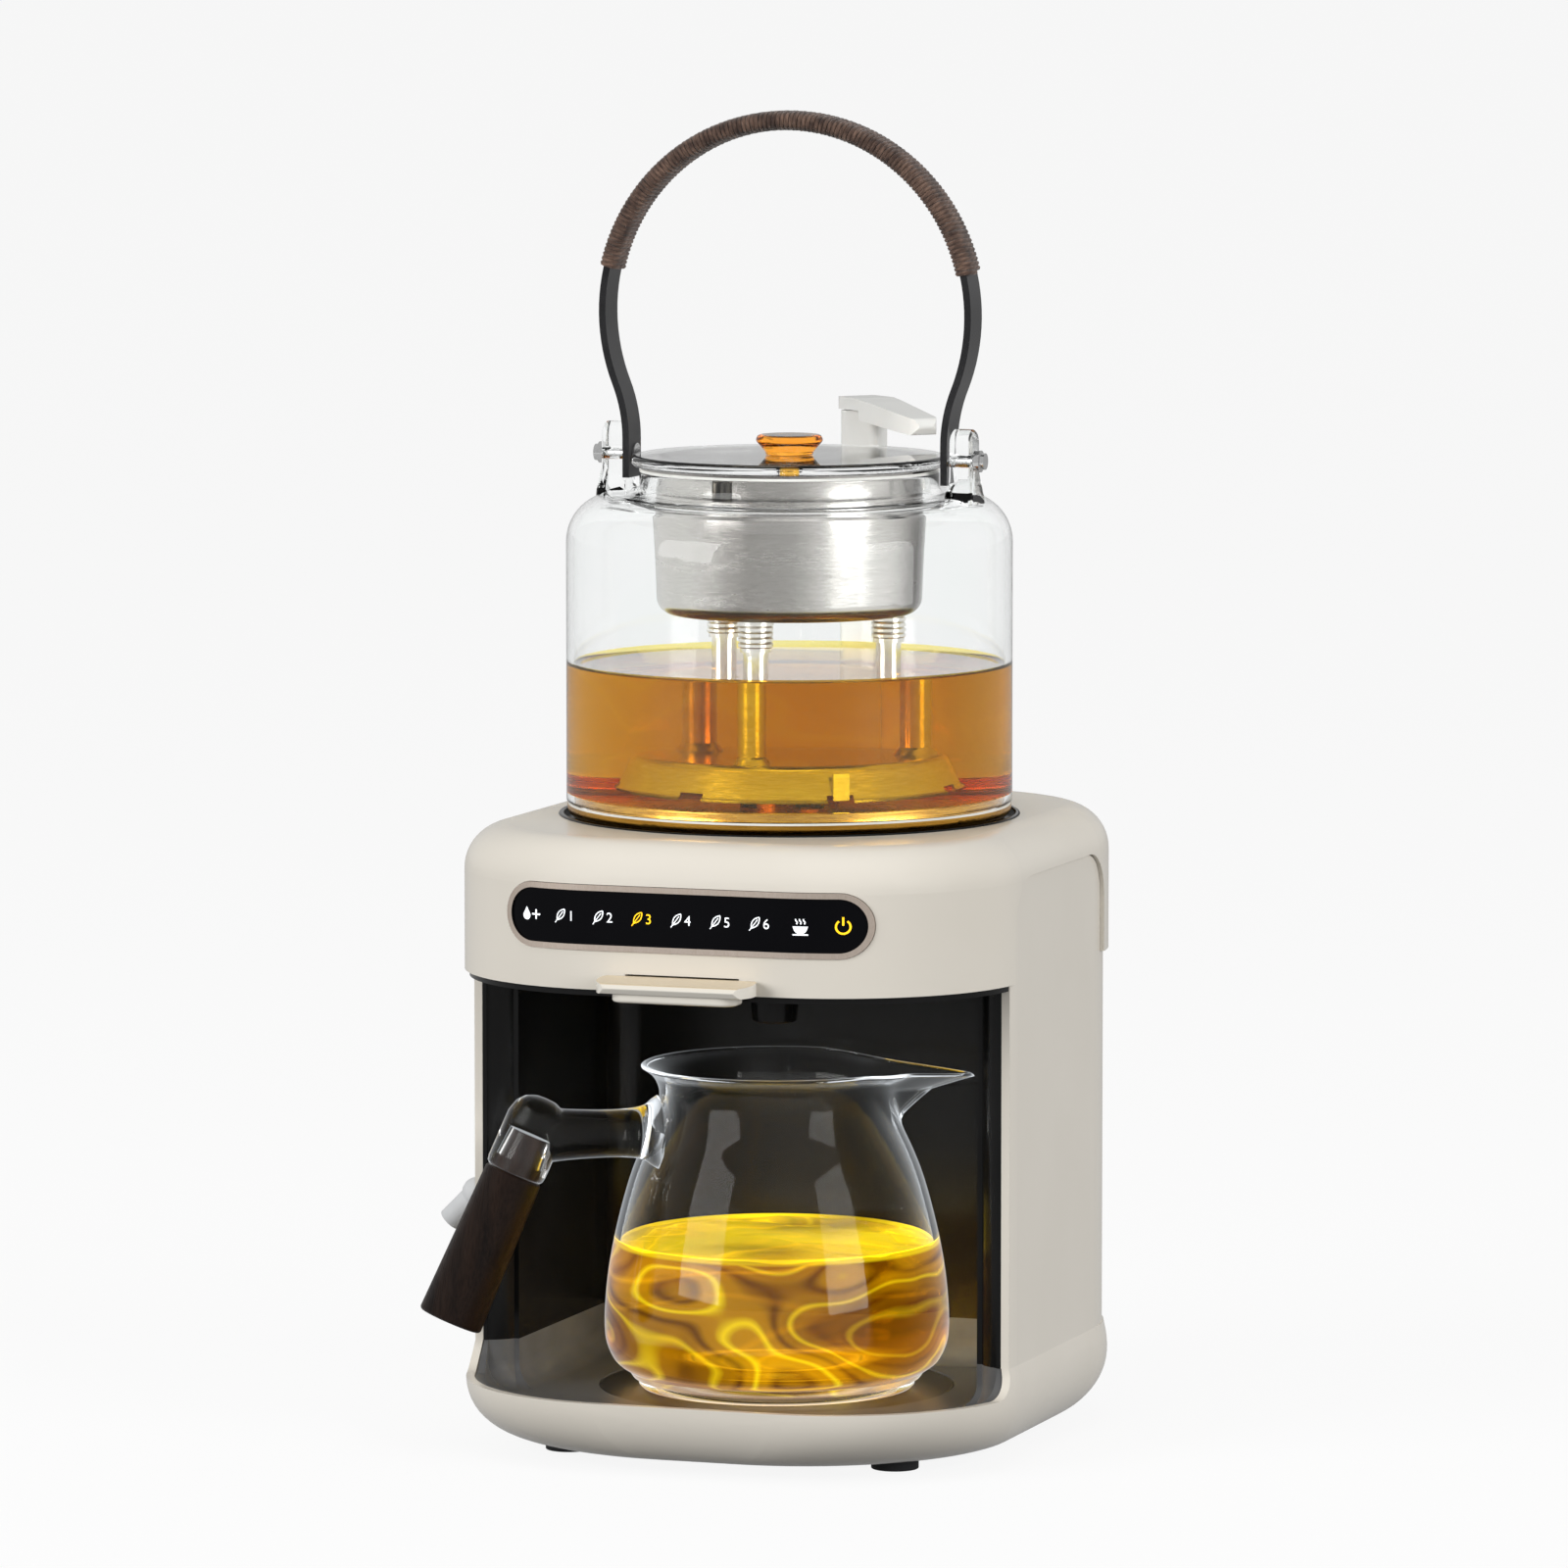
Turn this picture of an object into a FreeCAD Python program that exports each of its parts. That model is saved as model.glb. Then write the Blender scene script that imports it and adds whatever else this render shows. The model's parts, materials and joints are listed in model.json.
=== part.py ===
import FreeCAD, Part
import math
import os

# Automatic tea maker: a glass kettle with a drop handle stands on a moulded head, and a
# forked lever in the head opens the kettle's drain valve so that the tea runs into a glass
# jug in the open bay below. Millimetres, +Z up, the front faces -Y. The origin is the
# middle of the footprint, on the surface that the feet stand on.

Vector = FreeCAD.Vector

# ---------------------------------------------------------------- driving dimensions

# Body
body_width = 179.5
body_depth = 200.0
body_corner = 60.0
wall = 2.6
shell_gap = 0.25

# Base
foot_height = 3.8
foot_radius = 7.4
foot_inset_x = 36.0
foot_inset_y = 45.0
foot_stem = 2.5
base_height = 18.7
base_tuck = 15.0
base_corner_extra = 20.0
seam_rise = 9.0
cover_inset = 5.0
screw_x = 40.0
screw_y = 62.0
screw_radius = 1.7
vent_count = 9
vent_pitch = 8.0
vent_width = 3.2

# Column
column_height = 119.5
column_step = 1.2
column_back_step = 3.0
front_opening = 53.0

# Bay and tray
side_thickness = 14.0
back_thickness = 56.0
bay_corner = 10.0
pillar_round = 12.0
liner_wall = 2.2
tray_depth = 5.6
tray_skin = 2.4
tray_cove = 8.0
tray_rim_drop = 0.6
ceiling_drop = 2.0
ceiling_inset = 1.5

# Warming plate
jug_place = -12.0
plate_margin = 1.5
plate_sunk = 0.2
plate_thickness = 0.8

# Head
head_height = 45.5
head_round = 14.0
arch_inset = 55.0
arch_rise = 32.0
arch_corner = 15.0

# Touch panel
panel_rise = 22.2
panel_half_length = 59.8
panel_half_height = 10.1
bezel_width = 1.8
bezel_proud = 0.5
panel_glass_depth = 2.2
board_gap = 11.2
key_count = 9
key_pitch = 12.7
key_coil_radius = 2.4

# Kettle seat
seat_drop = 1.0
seat_margin = 0.8
seat_ring_width = 1.6
seat_ring_proud = 0.5
seat_flange = 4.2
heater_margin = 8.0
heater_hole = 24.0
heater_thickness = 6.0
element_radius = 3.2

# Drain
rod_radius = 3.0
rod_foot = 3.5
running_gap = 0.05
nozzle_place = -14.0
nozzle_drop = 19.0
drain_bore = 4.5
funnel_depth = 21.0
rod_top_gap = 3.2
return_wire = 0.5

# Lever
lever_pivot_y = -40.0
lever_pivot_rise = 5.5
lever_pin_radius = 1.5
lever_bar_radius = 3.0
lever_arm_gap = 2.7
lever_arm_width = 3.0
paddle_width = 50.6
paddle_reach = 12.0
tongue_width = 35.4
step_width = 40.6

# Filler
filler_x = -2.5
filler_inset = 20.0
filler_post_width = 12.8
filler_post_corner = 2.8
filler_post_rise = 14.0
filler_length = 41.0
filler_heading = -42.0
post_stem_radius = 5.0
arm_spigot_radius = 4.4
arm_gap = 0.1
inlet_hose_radius = 3.1
inlet_hose_bore = 2.45
filler_hose_radius = 2.9
filler_hose_bore = 2.0
spigot_y = -30.0
spigot_rise = 44.0
spigot_radius = 4.0
spigot_length = 13.0
spigot_neck = 4.2
spigot_bend = 3.0
pump_x = -38.0
pump_back = 33.0
pump_rise = 25.0
pump_radius = 13.0

# Power side
power_x = 11.0
power_rise = 21.0
power_half_width = 14.0
power_half_height = 10.0
board_rise = 35.0
board_height = 70.0

# Kettle
kettle_radius = 70.0
kettle_glass_wall = 2.2
kettle_height = 101.6
shoulder_round = 15.0
shoulder_width = 23.0
neck_wall = 2.5
neck_height = 7.0
trim_height = 4.2
gasket_height = 0.7
floor_rise = 2.8
valve_hole = 7.0
valve_seat_width = 4.0
valve_wire = 0.35
cage_height = 11.0
ear_setback = 7.0
ear_thickness = 7.2
ear_width = 10.0
ear_rise = 14.4
pin_drop = 10.0
pin_radius = 2.0

# Drop handle
strap_width = 11.0
strap_thickness = 2.2
strap_gap = 0.3
strap_tail = 7.5
arch_bulge = 7.8
arch_height = 44.8
strap_sway = 22.0
wrap_width = 13.5
wrap_thickness = 6.2
wrap_start = 13.0

# Infuser
basket_gap = 1.7
basket_depth = 44.6
sheet = 0.8
flange_setback = 0.4
riser_radius = 4.0
riser_wall = 0.8
riser_setback = 11.1
riser_sunk = 8.6
strainer_rim = 0.7
strainer_hole = 1.2
dome_gap = 1.5
dome_rise = 8.8
dome_height = 11.2

# Lid
lid_overhang = 2.5
lid_thickness = 3.4
lid_locating = 1.4
knob_radius = 10.6
knob_height = 6.3
knob_stem = 3.1

# Jug
jug_radius = 54.2
jug_neck_radius = 36.9
jug_rim_radius = 43.0
jug_wall = 2.0
jug_height = 101.8
jug_belly = 18.8
jug_neck = 92.3
jug_turn = 210.0
spout_length = 20.2
spout_dip = 4.6
socket_height = 81.0
socket_radius = 9.6
grip_out = 29.4
grip_height = 69.3
grip_tilt = 24.0
grip_length = 50.5
grip_top_radius = 9.2
grip_end_radius = 10.3

# ---------------------------------------------------------------- levels and places that follow

half_width = body_width / 2
half_depth = body_depth / 2
lip_level = foot_height + base_height
seam_level = lip_level + seam_rise
head_bottom = seam_level + column_height
head_top = head_bottom + head_height
tray_level = lip_level - tray_depth
plate_level = tray_level - plate_sunk
panel_level = head_bottom + panel_rise
column_front = -half_depth + front_opening
bay_half_width = half_width - side_thickness
bay_back = half_depth - back_thickness
foot_x = half_width - foot_inset_x
foot_y = half_depth - foot_inset_y
plate_radius = jug_radius + plate_margin
arch_half_length = half_depth - arch_inset

seat_level = head_top - seat_drop
seat_ring_inner = kettle_radius + seat_margin
seat_ring_outer = seat_ring_inner + seat_ring_width
heater_radius = kettle_radius - heater_margin
funnel_level = seat_level - funnel_depth
rod_top = seat_level - rod_top_gap
ceiling_level = head_bottom - ceiling_drop
nozzle_tip = head_bottom - nozzle_drop
lever_pivot_z = head_bottom + lever_pivot_rise
arm_inner = rod_radius + rod_foot + lever_arm_gap
filler_y = half_depth - filler_inset

floor_level = seat_level + floor_rise
shoulder_level = seat_level + kettle_height
neck_level = shoulder_level + neck_height
neck_radius = kettle_radius - shoulder_width
neck_bore = neck_radius - neck_wall
ear_inner = neck_radius + ear_setback
ear_outer = ear_inner + ear_thickness
ear_top = neck_level + ear_rise
pin_level = ear_top - pin_drop
strap_foot = ear_inner - strap_gap - strap_thickness / 2
arch_radius = strap_foot + arch_bulge
arch_centre = pin_level + arch_height
filler_post_top = neck_level + filler_post_rise
filler_post_sweep = (filler_post_width / 2 - filler_post_corner) * math.sqrt(2) + filler_post_corner

basket_radius = neck_bore - basket_gap
basket_bottom = neck_level - basket_depth
flange_radius = neck_radius - flange_setback
riser_circle = basket_radius - riser_setback
strainer_radius = riser_circle + riser_radius + strainer_rim
dome_radius = neck_bore - dome_gap
dome_bottom = seat_level + dome_rise
dome_top = dome_bottom + dome_height
riser_top = neck_level - riser_sunk
gasket_top = neck_level + sheet
lid_bottom = gasket_top + sheet + 0.1
lid_top = lid_bottom + lid_thickness
lid_radius = neck_radius + lid_overhang
knob_top = lid_top + knob_height

spigot_z = seam_level + spigot_rise
elbow_x = -half_width + column_step + wall + 3.6
pump_place = Vector(pump_x, half_depth - pump_back, seam_level + pump_rise)
power_z = seam_level + power_rise

rim_level = plate_level + jug_height


# ---------------------------------------------------------------- drawing helpers

def rounded_wire(corners, place):
    """Closed wire through corners (u, v) or (u, v, radius); place turns (u, v) into a point."""
    edges = []
    flat = [Vector(c[0], c[1], 0) for c in corners]
    ends = []
    for i, corner in enumerate(corners):
        here = flat[i]
        if len(corner) < 3 or not corner[2]:
            ends.append((here, None, here))
            continue
        back = flat[i - 1] - here
        ahead = flat[(i + 1) % len(flat)] - here
        back.normalize()
        ahead.normalize()
        half = back.getAngle(ahead) / 2
        reach = corner[2] / math.tan(half)
        middle = back + ahead
        middle.normalize()
        centre = here + middle * (corner[2] / math.sin(half))
        ends.append((here + back * reach, centre - middle * corner[2], here + ahead * reach))
    for i, (start, bend, stop) in enumerate(ends):
        if bend is not None:
            edges.append(Part.Arc(place(start), place(bend), place(stop)).toShape())
        following = ends[(i + 1) % len(ends)][0]
        if (following - stop).Length > 1e-6:
            edges.append(Part.LineSegment(place(stop), place(following)).toShape())
    return Part.Wire(edges)


def plan(z):
    return lambda p: Vector(p.x, p.y, z)


def side(x):
    return lambda p: Vector(x, p.x, p.y)


def front(y):
    return lambda p: Vector(p.x, y, p.y)


def plan_prism(corners, low, high):
    """Prism of a plan outline between two heights."""
    return Part.Face(rounded_wire(corners, plan(low))).extrude(Vector(0, 0, high - low))


def side_prism(corners, left, right):
    """Prism along X of an outline given as (y, z)."""
    return Part.Face(rounded_wire(corners, side(left))).extrude(Vector(right - left, 0, 0))


def front_prism(corners, near, far):
    """Prism along Y of an outline given as (x, z)."""
    return Part.Face(rounded_wire(corners, front(near))).extrude(Vector(0, far - near, 0))


def turned(corners, x=0.0, y=0.0):
    """Solid of revolution about a vertical axis of an outline given as (radius, z)."""
    face = Part.Face(rounded_wire(corners, front(0)))
    solid = face.revolve(Vector(0, 0, 0), Vector(0, 0, 1), 360)
    solid.translate(Vector(x, y, 0))
    return solid


def box(x0, x1, y0, y1, z0, z1):
    return Part.makeBox(x1 - x0, y1 - y0, z1 - z0, Vector(x0, y0, z0))


def cylinder(radius, low, high, x=0.0, y=0.0):
    """Upright cylinder between two heights."""
    return Part.makeCylinder(radius, high - low, Vector(x, y, low))


def rod(radius, start, stop):
    """Cylinder between two points."""
    along = stop - start
    return Part.makeCylinder(radius, along.Length, start, along)


def ring(outer, inner, low, high, x=0.0, y=0.0):
    return turned([(inner, low), (outer, low), (outer, high), (inner, high)], x, y)


def rectangle(x, y, half_x, half_y, corner):
    """Rounded rectangle about a point."""
    return [(x - half_x, y - half_y, corner), (x + half_x, y - half_y, corner),
            (x + half_x, y + half_y, corner), (x - half_x, y + half_y, corner)]


def slot(half_length, half_height, x=0.0, z=0.0):
    """Stadium outline in the front plane."""
    return rectangle(x, z, half_length, half_height, half_height * 0.999)


def corners_of(x, y):
    """The four places of a rectangular pattern."""
    return [(sx * x, sy * y) for sx in (-1, 1) for sy in (-1, 1)]


def tube(points, radius, bend, bore=0.0):
    """Round tube through points, its corners rounded to the bend radius."""
    edges = []
    start = points[0]
    for before, here, after in zip(points, points[1:], points[2:]):
        back = (before - here).normalize()
        ahead = (after - here).normalize()
        half = back.getAngle(ahead) / 2
        reach = bend / math.tan(half)
        middle = (back + ahead).normalize()
        centre = here + middle * (bend / math.sin(half))
        edges.append(Part.LineSegment(start, here + back * reach).toShape())
        arc = Part.Arc(here + back * reach, centre - middle * bend, here + ahead * reach)
        edges.append(arc.toShape())
        start = here + ahead * reach
    edges.append(Part.LineSegment(start, points[-1]).toShape())
    path = Part.Wire(edges)
    heading = points[1] - points[0]

    def swept(r):
        circle = Part.Wire(Part.Circle(points[0], heading, r).toShape())
        return path.makePipeShell([circle], True, False)

    return swept(radius).cut(swept(bore)) if bore else swept(radius)


def edges_at(shape, test):
    """Edges whose every vertex passes the test."""
    return [e for e in shape.Edges if all(test(v.Point) for v in e.Vertexes)]


def at_level(z):
    return lambda p: abs(p.z - z) < 0.01


def fused(shapes):
    return shapes[0].multiFuse(shapes[1:]).removeSplitter() if len(shapes) > 1 else shapes[0]


def mirrored(shape):
    """The shape and its mirror image across the middle plane."""
    return [shape, shape.mirror(Vector(0, 0, 0), Vector(1, 0, 0))]


def coil(radius, wire, low, high, turns):
    """Compression spring of round wire, drawn with twelve runs a turn."""
    steps = 12
    rise = (high - low - 2 * wire) / (steps * turns)
    points = []
    for i in range(steps * turns + 1):
        a = 2 * math.pi * i / steps
        points.append(Vector(radius * math.cos(a), radius * math.sin(a), low + wire + rise * i))
    section = Part.Wire(Part.Circle(points[0], points[1] - points[0], wire).toShape())
    return Part.makePolygon(points).makePipeShell([section], True, False, 1)


# ---------------------------------------------------------------- body outlines

def outline(inset=0.0, extra_corner=0.0, back_inset=None):
    """Plan outline of the body, pulled in by inset."""
    back = inset if back_inset is None else back_inset
    half = half_width - inset
    corner = min(body_corner - inset + extra_corner, half - 1.0)
    return [
        (-half, -half_depth + inset, corner), (half, -half_depth + inset, corner),
        (half, half_depth - back, corner), (-half, half_depth - back, corner)]


def front_face_y(x, inset=0.0):
    """Y of the body's front at x, pulled in by inset."""
    beyond = max(abs(x) - (half_width - body_corner), 0.0)
    return -half_depth + body_corner - math.sqrt((body_corner - inset) ** 2 - beyond ** 2)


def bowl(inset, overrun=0.0):
    """Lofted base form: a quarter-ellipse curve under a nearly upright rim."""
    wires = []
    steps = 4
    for i in range(steps + 1):
        angle = math.pi / 2 * i / steps
        tucked = 1 - math.sin(angle)
        level = foot_height + inset + (base_height - inset) * (1 - math.cos(angle))
        corners = outline(base_tuck * tucked + inset, base_corner_extra * tucked)
        wires.append(rounded_wire(corners, plan(level)))
    wires.append(rounded_wire(outline(column_step + inset), plan(seam_level + overrun)))
    return Part.makeLoft(wires, True, False)


def lip_cut(drop, setback):
    """What is cut from the base in front of the column, swept up to the column's edge."""
    low = lip_level - drop
    edge = column_front + setback
    beyond = half_depth + 20
    return side_prism(
        [(-beyond, low), (edge, low, seam_level - low - 0.01), (edge, seam_level + 20),
         (-beyond, seam_level + 20)], -half_width - 20, half_width + 20)


def bay_void(grow, low, high, front_inset):
    """The bay's space, grown outwards; the front corners are rounded pillars."""
    side_x = bay_half_width + grow
    neck_line = column_front + pillar_round
    rear = plan_prism(
        [(-side_x, neck_line - 2), (side_x, neck_line - 2),
         (side_x, bay_back + grow, bay_corner + grow),
         (-side_x, bay_back + grow, bay_corner + grow)], low, high)
    mouth = plan_prism(outline(front_inset), low, high)
    mouth = mouth.common(box(-half_width, half_width, -half_depth, neck_line, low, high))
    for x in (-bay_half_width - pillar_round, bay_half_width + pillar_round):
        mouth = mouth.cut(cylinder(pillar_round - grow, low, high, x, neck_line))
    keep = box(-side_x, side_x, -half_depth, neck_line, low, high)
    ahead = mouth.cut(keep).common(
        box(-half_width, half_width, -half_depth, column_front + 6, low, high))
    return fused([rear, mouth.common(keep), ahead])


# ---------------------------------------------------------------- base

def cover_outline(gap):
    """Outline of the opening in the base's underside, pulled in by gap."""
    return outline(base_tuck + cover_inset + gap, base_corner_extra)


def base_shell():
    """Moulded bowl, open below for the cover and above for the tray."""
    shell = bowl(0.0).cut(bowl(wall, 1.0)).cut(lip_cut(0.0, 0.0))
    return shell.cut(plan_prism(cover_outline(0.0), 0, foot_height + wall + 1))


def base_cover():
    """Bottom plate with vent slots, holes for the feet and posts for the tray's screws."""
    top = foot_height + wall
    cover = plan_prism(cover_outline(shell_gap), foot_height, top)
    posts = [cylinder(screw_radius + 2.5, top - 0.4, tray_level - tray_skin, x, y)
             for x, y in corners_of(screw_x, screw_y)]
    cuts = [cylinder(screw_radius + 0.2, 0, tray_level, x, y)
            for x, y in corners_of(screw_x, screw_y)]
    cuts += [cylinder(foot_stem + 0.1, 0, tray_level, x, y) for x, y in corners_of(foot_x, foot_y)]
    for i in range(vent_count):
        x = (i - (vent_count - 1) / 2) * vent_pitch
        cuts.append(plan_prism(
            rectangle(x, 14, vent_width / 2, 18, vent_width / 2 * 0.99), 0, top + 1))
    return fused([cover] + posts).cut(Part.makeCompound(cuts))


def rubber_feet():
    """Four feet, each with a stem pressed through the cover."""
    stem_top = foot_height + wall + 1.2
    return [turned(
        [(0, 0), (foot_radius, 0, 0.4), (foot_radius, foot_height), (foot_stem, foot_height),
         (foot_stem, stem_top), (0, stem_top)], x, y) for x, y in corners_of(foot_x, foot_y)]


def base_screws():
    """Screws from below through the cover's posts into the tray."""
    under = tray_level - tray_skin
    return [turned(
        [(0, foot_height - 1.6), (2 * screw_radius, foot_height - 1.6, 0.8),
         (2 * screw_radius, foot_height), (screw_radius, foot_height), (screw_radius, under),
         (0, under)], x, y) for x, y in corners_of(screw_x, screw_y)]


def bay_tray():
    """Black tray: floor, coved rim and the feet of the two pillars."""
    low = tray_level - tray_skin
    body = bowl(wall + shell_gap).common(
        box(-half_width, half_width, -half_depth, half_depth, low, seam_level))
    body = body.cut(lip_cut(tray_rim_drop, shell_gap))
    space = bay_void(0.0, tray_level, seam_level + 5, wall + shell_gap + tray_skin)
    space = space.makeFillet(tray_cove, edges_at(space, at_level(tray_level)))
    plate_low = plate_level - plate_thickness
    return body.cut(space).cut(cylinder(plate_radius + 0.3, plate_low, seam_level, 0, jug_place)).cut(
        cylinder(plate_radius - 4, low - 2, seam_level, 0, jug_place))


def warming_plate():
    low = plate_level - plate_thickness
    return turned([(0, low), (plate_radius, low), (plate_radius, plate_level, 0.4),
                   (0, plate_level)], 0, jug_place)


def warming_heater():
    low = plate_level - plate_thickness
    return ring(plate_radius - 7, 18, low - 2.6, low, 0, jug_place)


# ---------------------------------------------------------------- column and bay

def column_ring(inset, low, high):
    """Wall that follows the column's outline."""
    def wall_line(depth):
        return plan_prism(outline(column_step + depth, 0.0, column_back_step + depth), low, high)
    return wall_line(inset).cut(wall_line(inset + wall))


def arch_side(grow):
    """Arch profile on the head's side, as a prism through both walls."""
    half = arch_half_length + grow
    top = head_bottom + arch_rise + grow
    return side_prism(
        [(-half, head_bottom - 1), (half, head_bottom - 1), (half, top, arch_corner + grow),
         (-half, top, arch_corner + grow)], -half_width - 5, half_width + 5)


def power_outline(grow, corner):
    """Rounded outline of the appliance inlet in the rear wall."""
    return rectangle(power_x, power_z, power_half_width + grow, power_half_height + grow, corner)


def column_shell():
    """Three-sided column with an arched tab that rises into each side of the head."""
    upright = column_ring(0.0, seam_level, head_bottom)
    tabs = column_ring(0.0, head_bottom - 0.5, head_bottom + arch_rise + 1).common(arch_side(0.0))
    shell = fused([upright, tabs])
    shell = shell.cut(box(-half_width, half_width, -half_depth, column_front, 0, head_top))
    back = half_depth - column_back_step
    shell = shell.cut(front_prism(power_outline(0.2, 3), back - 10, back + 5))
    return shell.cut(rod(spigot_neck + 0.1, Vector(-half_width - 5, spigot_y, spigot_z),
                         Vector(-half_width + 10, spigot_y, spigot_z)))


def bay_liner():
    """Black gloss liner of the bay: rounded pillars, side walls and back."""
    inset = wall + shell_gap + tray_skin
    skin = bay_void(liner_wall, seam_level, ceiling_level, inset - liner_wall)
    skin = skin.cut(bay_void(0.0, seam_level, ceiling_level, inset))
    skin = skin.common(plan_prism(outline(column_step + wall + 0.05), seam_level, ceiling_level))
    return skin.common(
        box(-half_width, half_width, column_front, half_depth, seam_level, ceiling_level))


# ---------------------------------------------------------------- head

def head_shell():
    body = plan_prism(outline(), head_bottom, head_top)
    body = body.makeFillet(head_round, edges_at(body, at_level(head_top)))
    inner = plan_prism(outline(wall), head_bottom - 1, head_top - wall)
    inner = inner.makeFillet(head_round - wall, edges_at(inner, at_level(head_top - wall)))
    shell = body.cut(inner).cut(arch_side(shell_gap))
    shell = shell.cut(cylinder(seat_ring_outer + 0.1, head_top - 10, head_top + 10))
    shell = shell.cut(front_prism(
        slot(panel_half_length + 0.1, panel_half_height + 0.1, 0, panel_level),
        -half_depth - 5, -half_depth + 30))
    half = tongue_width / 2 + 0.8
    shell = shell.cut(box(-half, half, -half_depth - 5, -half_depth + 10,
                          head_bottom - 5, lever_pivot_z - 0.3))
    return shell.cut(cylinder(post_stem_radius + 0.2, head_top - 10, head_top + 10,
                              filler_x, filler_y))


def head_ceiling():
    """Black underside of the head, let into the shell by an upstand."""
    split = column_front - 0.3
    ahead = plan_prism(outline(ceiling_inset), ceiling_level, head_bottom).common(
        box(-half_width, half_width, -half_depth, split, ceiling_level, head_bottom))
    behind = plan_prism(outline(column_step + wall + 0.3), ceiling_level, head_bottom).common(
        box(-half_width, half_width, split - 0.7, bay_back + liner_wall, ceiling_level, head_bottom))
    upstand = plan_prism(outline(wall + shell_gap), head_bottom - 0.5, head_bottom + 3.5).cut(
        plan_prism(outline(wall + shell_gap + 1.8), head_bottom - 0.5, head_bottom + 3.5))
    upstand = upstand.common(
        box(-half_width, half_width, -half_depth, split, ceiling_level, head_bottom + 10))
    half = tongue_width / 2 + 1.3
    plate = fused([ahead, behind, upstand]).cut(
        box(-half, half, -half_depth - 5, lever_pivot_y - 12, ceiling_level - 5, head_bottom + 10))
    return plate.cut(cylinder(drain_bore + 1.8, ceiling_level - 5, head_bottom + 5, 0, nozzle_place))


def front_band(half_length, half_height, outer_inset, inner_inset):
    """Piece of the head's curved front between two depths, in a stadium outline."""
    low, high = panel_level - 20, panel_level + 20
    band = plan_prism(outline(outer_inset), low, high).cut(plan_prism(outline(inner_inset), low, high))
    return band.common(front_prism(
        slot(half_length, half_height, 0, panel_level), -half_depth - 5, -half_depth + 30))


def panel_bezel():
    frame = front_band(panel_half_length, panel_half_height, -bezel_proud, panel_glass_depth)
    return frame.cut(front_prism(
        slot(panel_half_length - bezel_width, panel_half_height - bezel_width, 0, panel_level),
        -half_depth - 5, -half_depth + 30))


def panel_glass():
    return front_band(panel_half_length - bezel_width - 0.05,
                      panel_half_height - bezel_width - 0.05, 0.15, panel_glass_depth)


def board_face():
    """Y of the touch board's front."""
    return -half_depth + panel_glass_depth + board_gap


def panel_board():
    half = panel_half_length - 4
    y = board_face()
    return box(-half, half, y, y + 1.6, panel_level - 8.5, panel_level + 8.5)


def touch_springs():
    """One contact coil behind each touch mark, from the board to the glass."""
    coils = []
    for i in range(key_count):
        x = (i - (key_count - 1) / 2) * key_pitch
        outer_end = abs(x) + key_coil_radius
        reach = front_face_y(outer_end, panel_glass_depth) + 0.2
        coils.append(rod(key_coil_radius, Vector(x, board_face(), panel_level),
                         Vector(x, reach, panel_level)))
    return coils


# ---------------------------------------------------------------- kettle seat and drain

def kettle_seat():
    """Black seat ring round the kettle, carrying the heating plate."""
    under = head_top - wall
    ring_top = head_top + seat_ring_proud
    heater_low = seat_level - heater_thickness
    pocket = heater_radius + 0.4
    seat = turned(
        [(seat_ring_inner, ring_top, 0.5), (seat_ring_outer, ring_top, 0.5),
         (seat_ring_outer, under), (seat_ring_outer + seat_flange, under),
         (seat_ring_outer + seat_flange, under - 2), (seat_ring_outer, under - 2),
         (seat_ring_outer, heater_low - 1.6), (heater_radius - 4, heater_low - 1.6),
         (heater_radius - 4, heater_low), (pocket, heater_low), (pocket, seat_level - 0.6),
         (seat_ring_inner, seat_level - 0.6)])
    return seat.cut(cylinder(post_stem_radius + 0.4, head_top - 25, head_top + 5,
                             filler_x, filler_y))


def kettle_heater():
    """Cast heating plate with its tubular element underneath."""
    low = seat_level - heater_thickness
    plate = turned(
        [(heater_hole, low), (heater_radius, low), (heater_radius, seat_level, 0.8),
         (heater_hole, seat_level)])
    circle = (heater_hole + heater_radius) / 2 + 1
    return plate.fuse(Part.makeTorus(circle, element_radius, Vector(0, 0, low - 0.5)))


def drain_funnel():
    """Cup under the kettle's valve, with a guide for the push rod and an outlet to one side."""
    bore = rod_radius + running_gap
    floor = funnel_level + 1.6
    rim = seat_level - 4.5
    cup = turned(
        [(bore, funnel_level), (heater_hole - 2.4, funnel_level), (heater_hole - 0.8, rim),
         (heater_hole - 2.4, rim), (heater_hole - 3.8, floor), (bore + 2.55, floor),
         (bore + 2.55, funnel_level + 8), (bore, funnel_level + 8)])
    pipe = cylinder(drain_bore + 1.5, nozzle_tip + 6, funnel_level, 0, nozzle_place)
    return cup.fuse(pipe).cut(cylinder(drain_bore, nozzle_tip, floor + 8, 0, nozzle_place))


def drain_nozzle():
    """Sleeve below the ceiling that ends the drain."""
    inner = drain_bore + 0.1
    return turned(
        [(inner, nozzle_tip), (inner + 2.4, nozzle_tip, 1.0), (inner + 3.8, ceiling_level - 1.5),
         (inner + 6.4, ceiling_level - 1.5), (inner + 6.4, ceiling_level),
         (inner + 1.5, ceiling_level), (inner + 1.5, nozzle_tip + 5.9), (inner, nozzle_tip + 5.9)],
        0, nozzle_place)


def rod_foot_level():
    return lever_pivot_z + lever_bar_radius + 0.3


def push_rod():
    """Rod from the lever's fork to the valve, with a foot for the return spring."""
    foot = rod_foot_level()
    edge = rod_radius + rod_foot
    return turned([(0, foot), (edge, foot, 0.6), (edge, foot + 2.2), (rod_radius, foot + 2.2),
                   (rod_radius, rod_top, 0.8), (0, rod_top)])


def return_spring():
    return coil(rod_radius + 1.8, return_wire, rod_foot_level() + 2.25, funnel_level - 0.05, 5)


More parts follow.
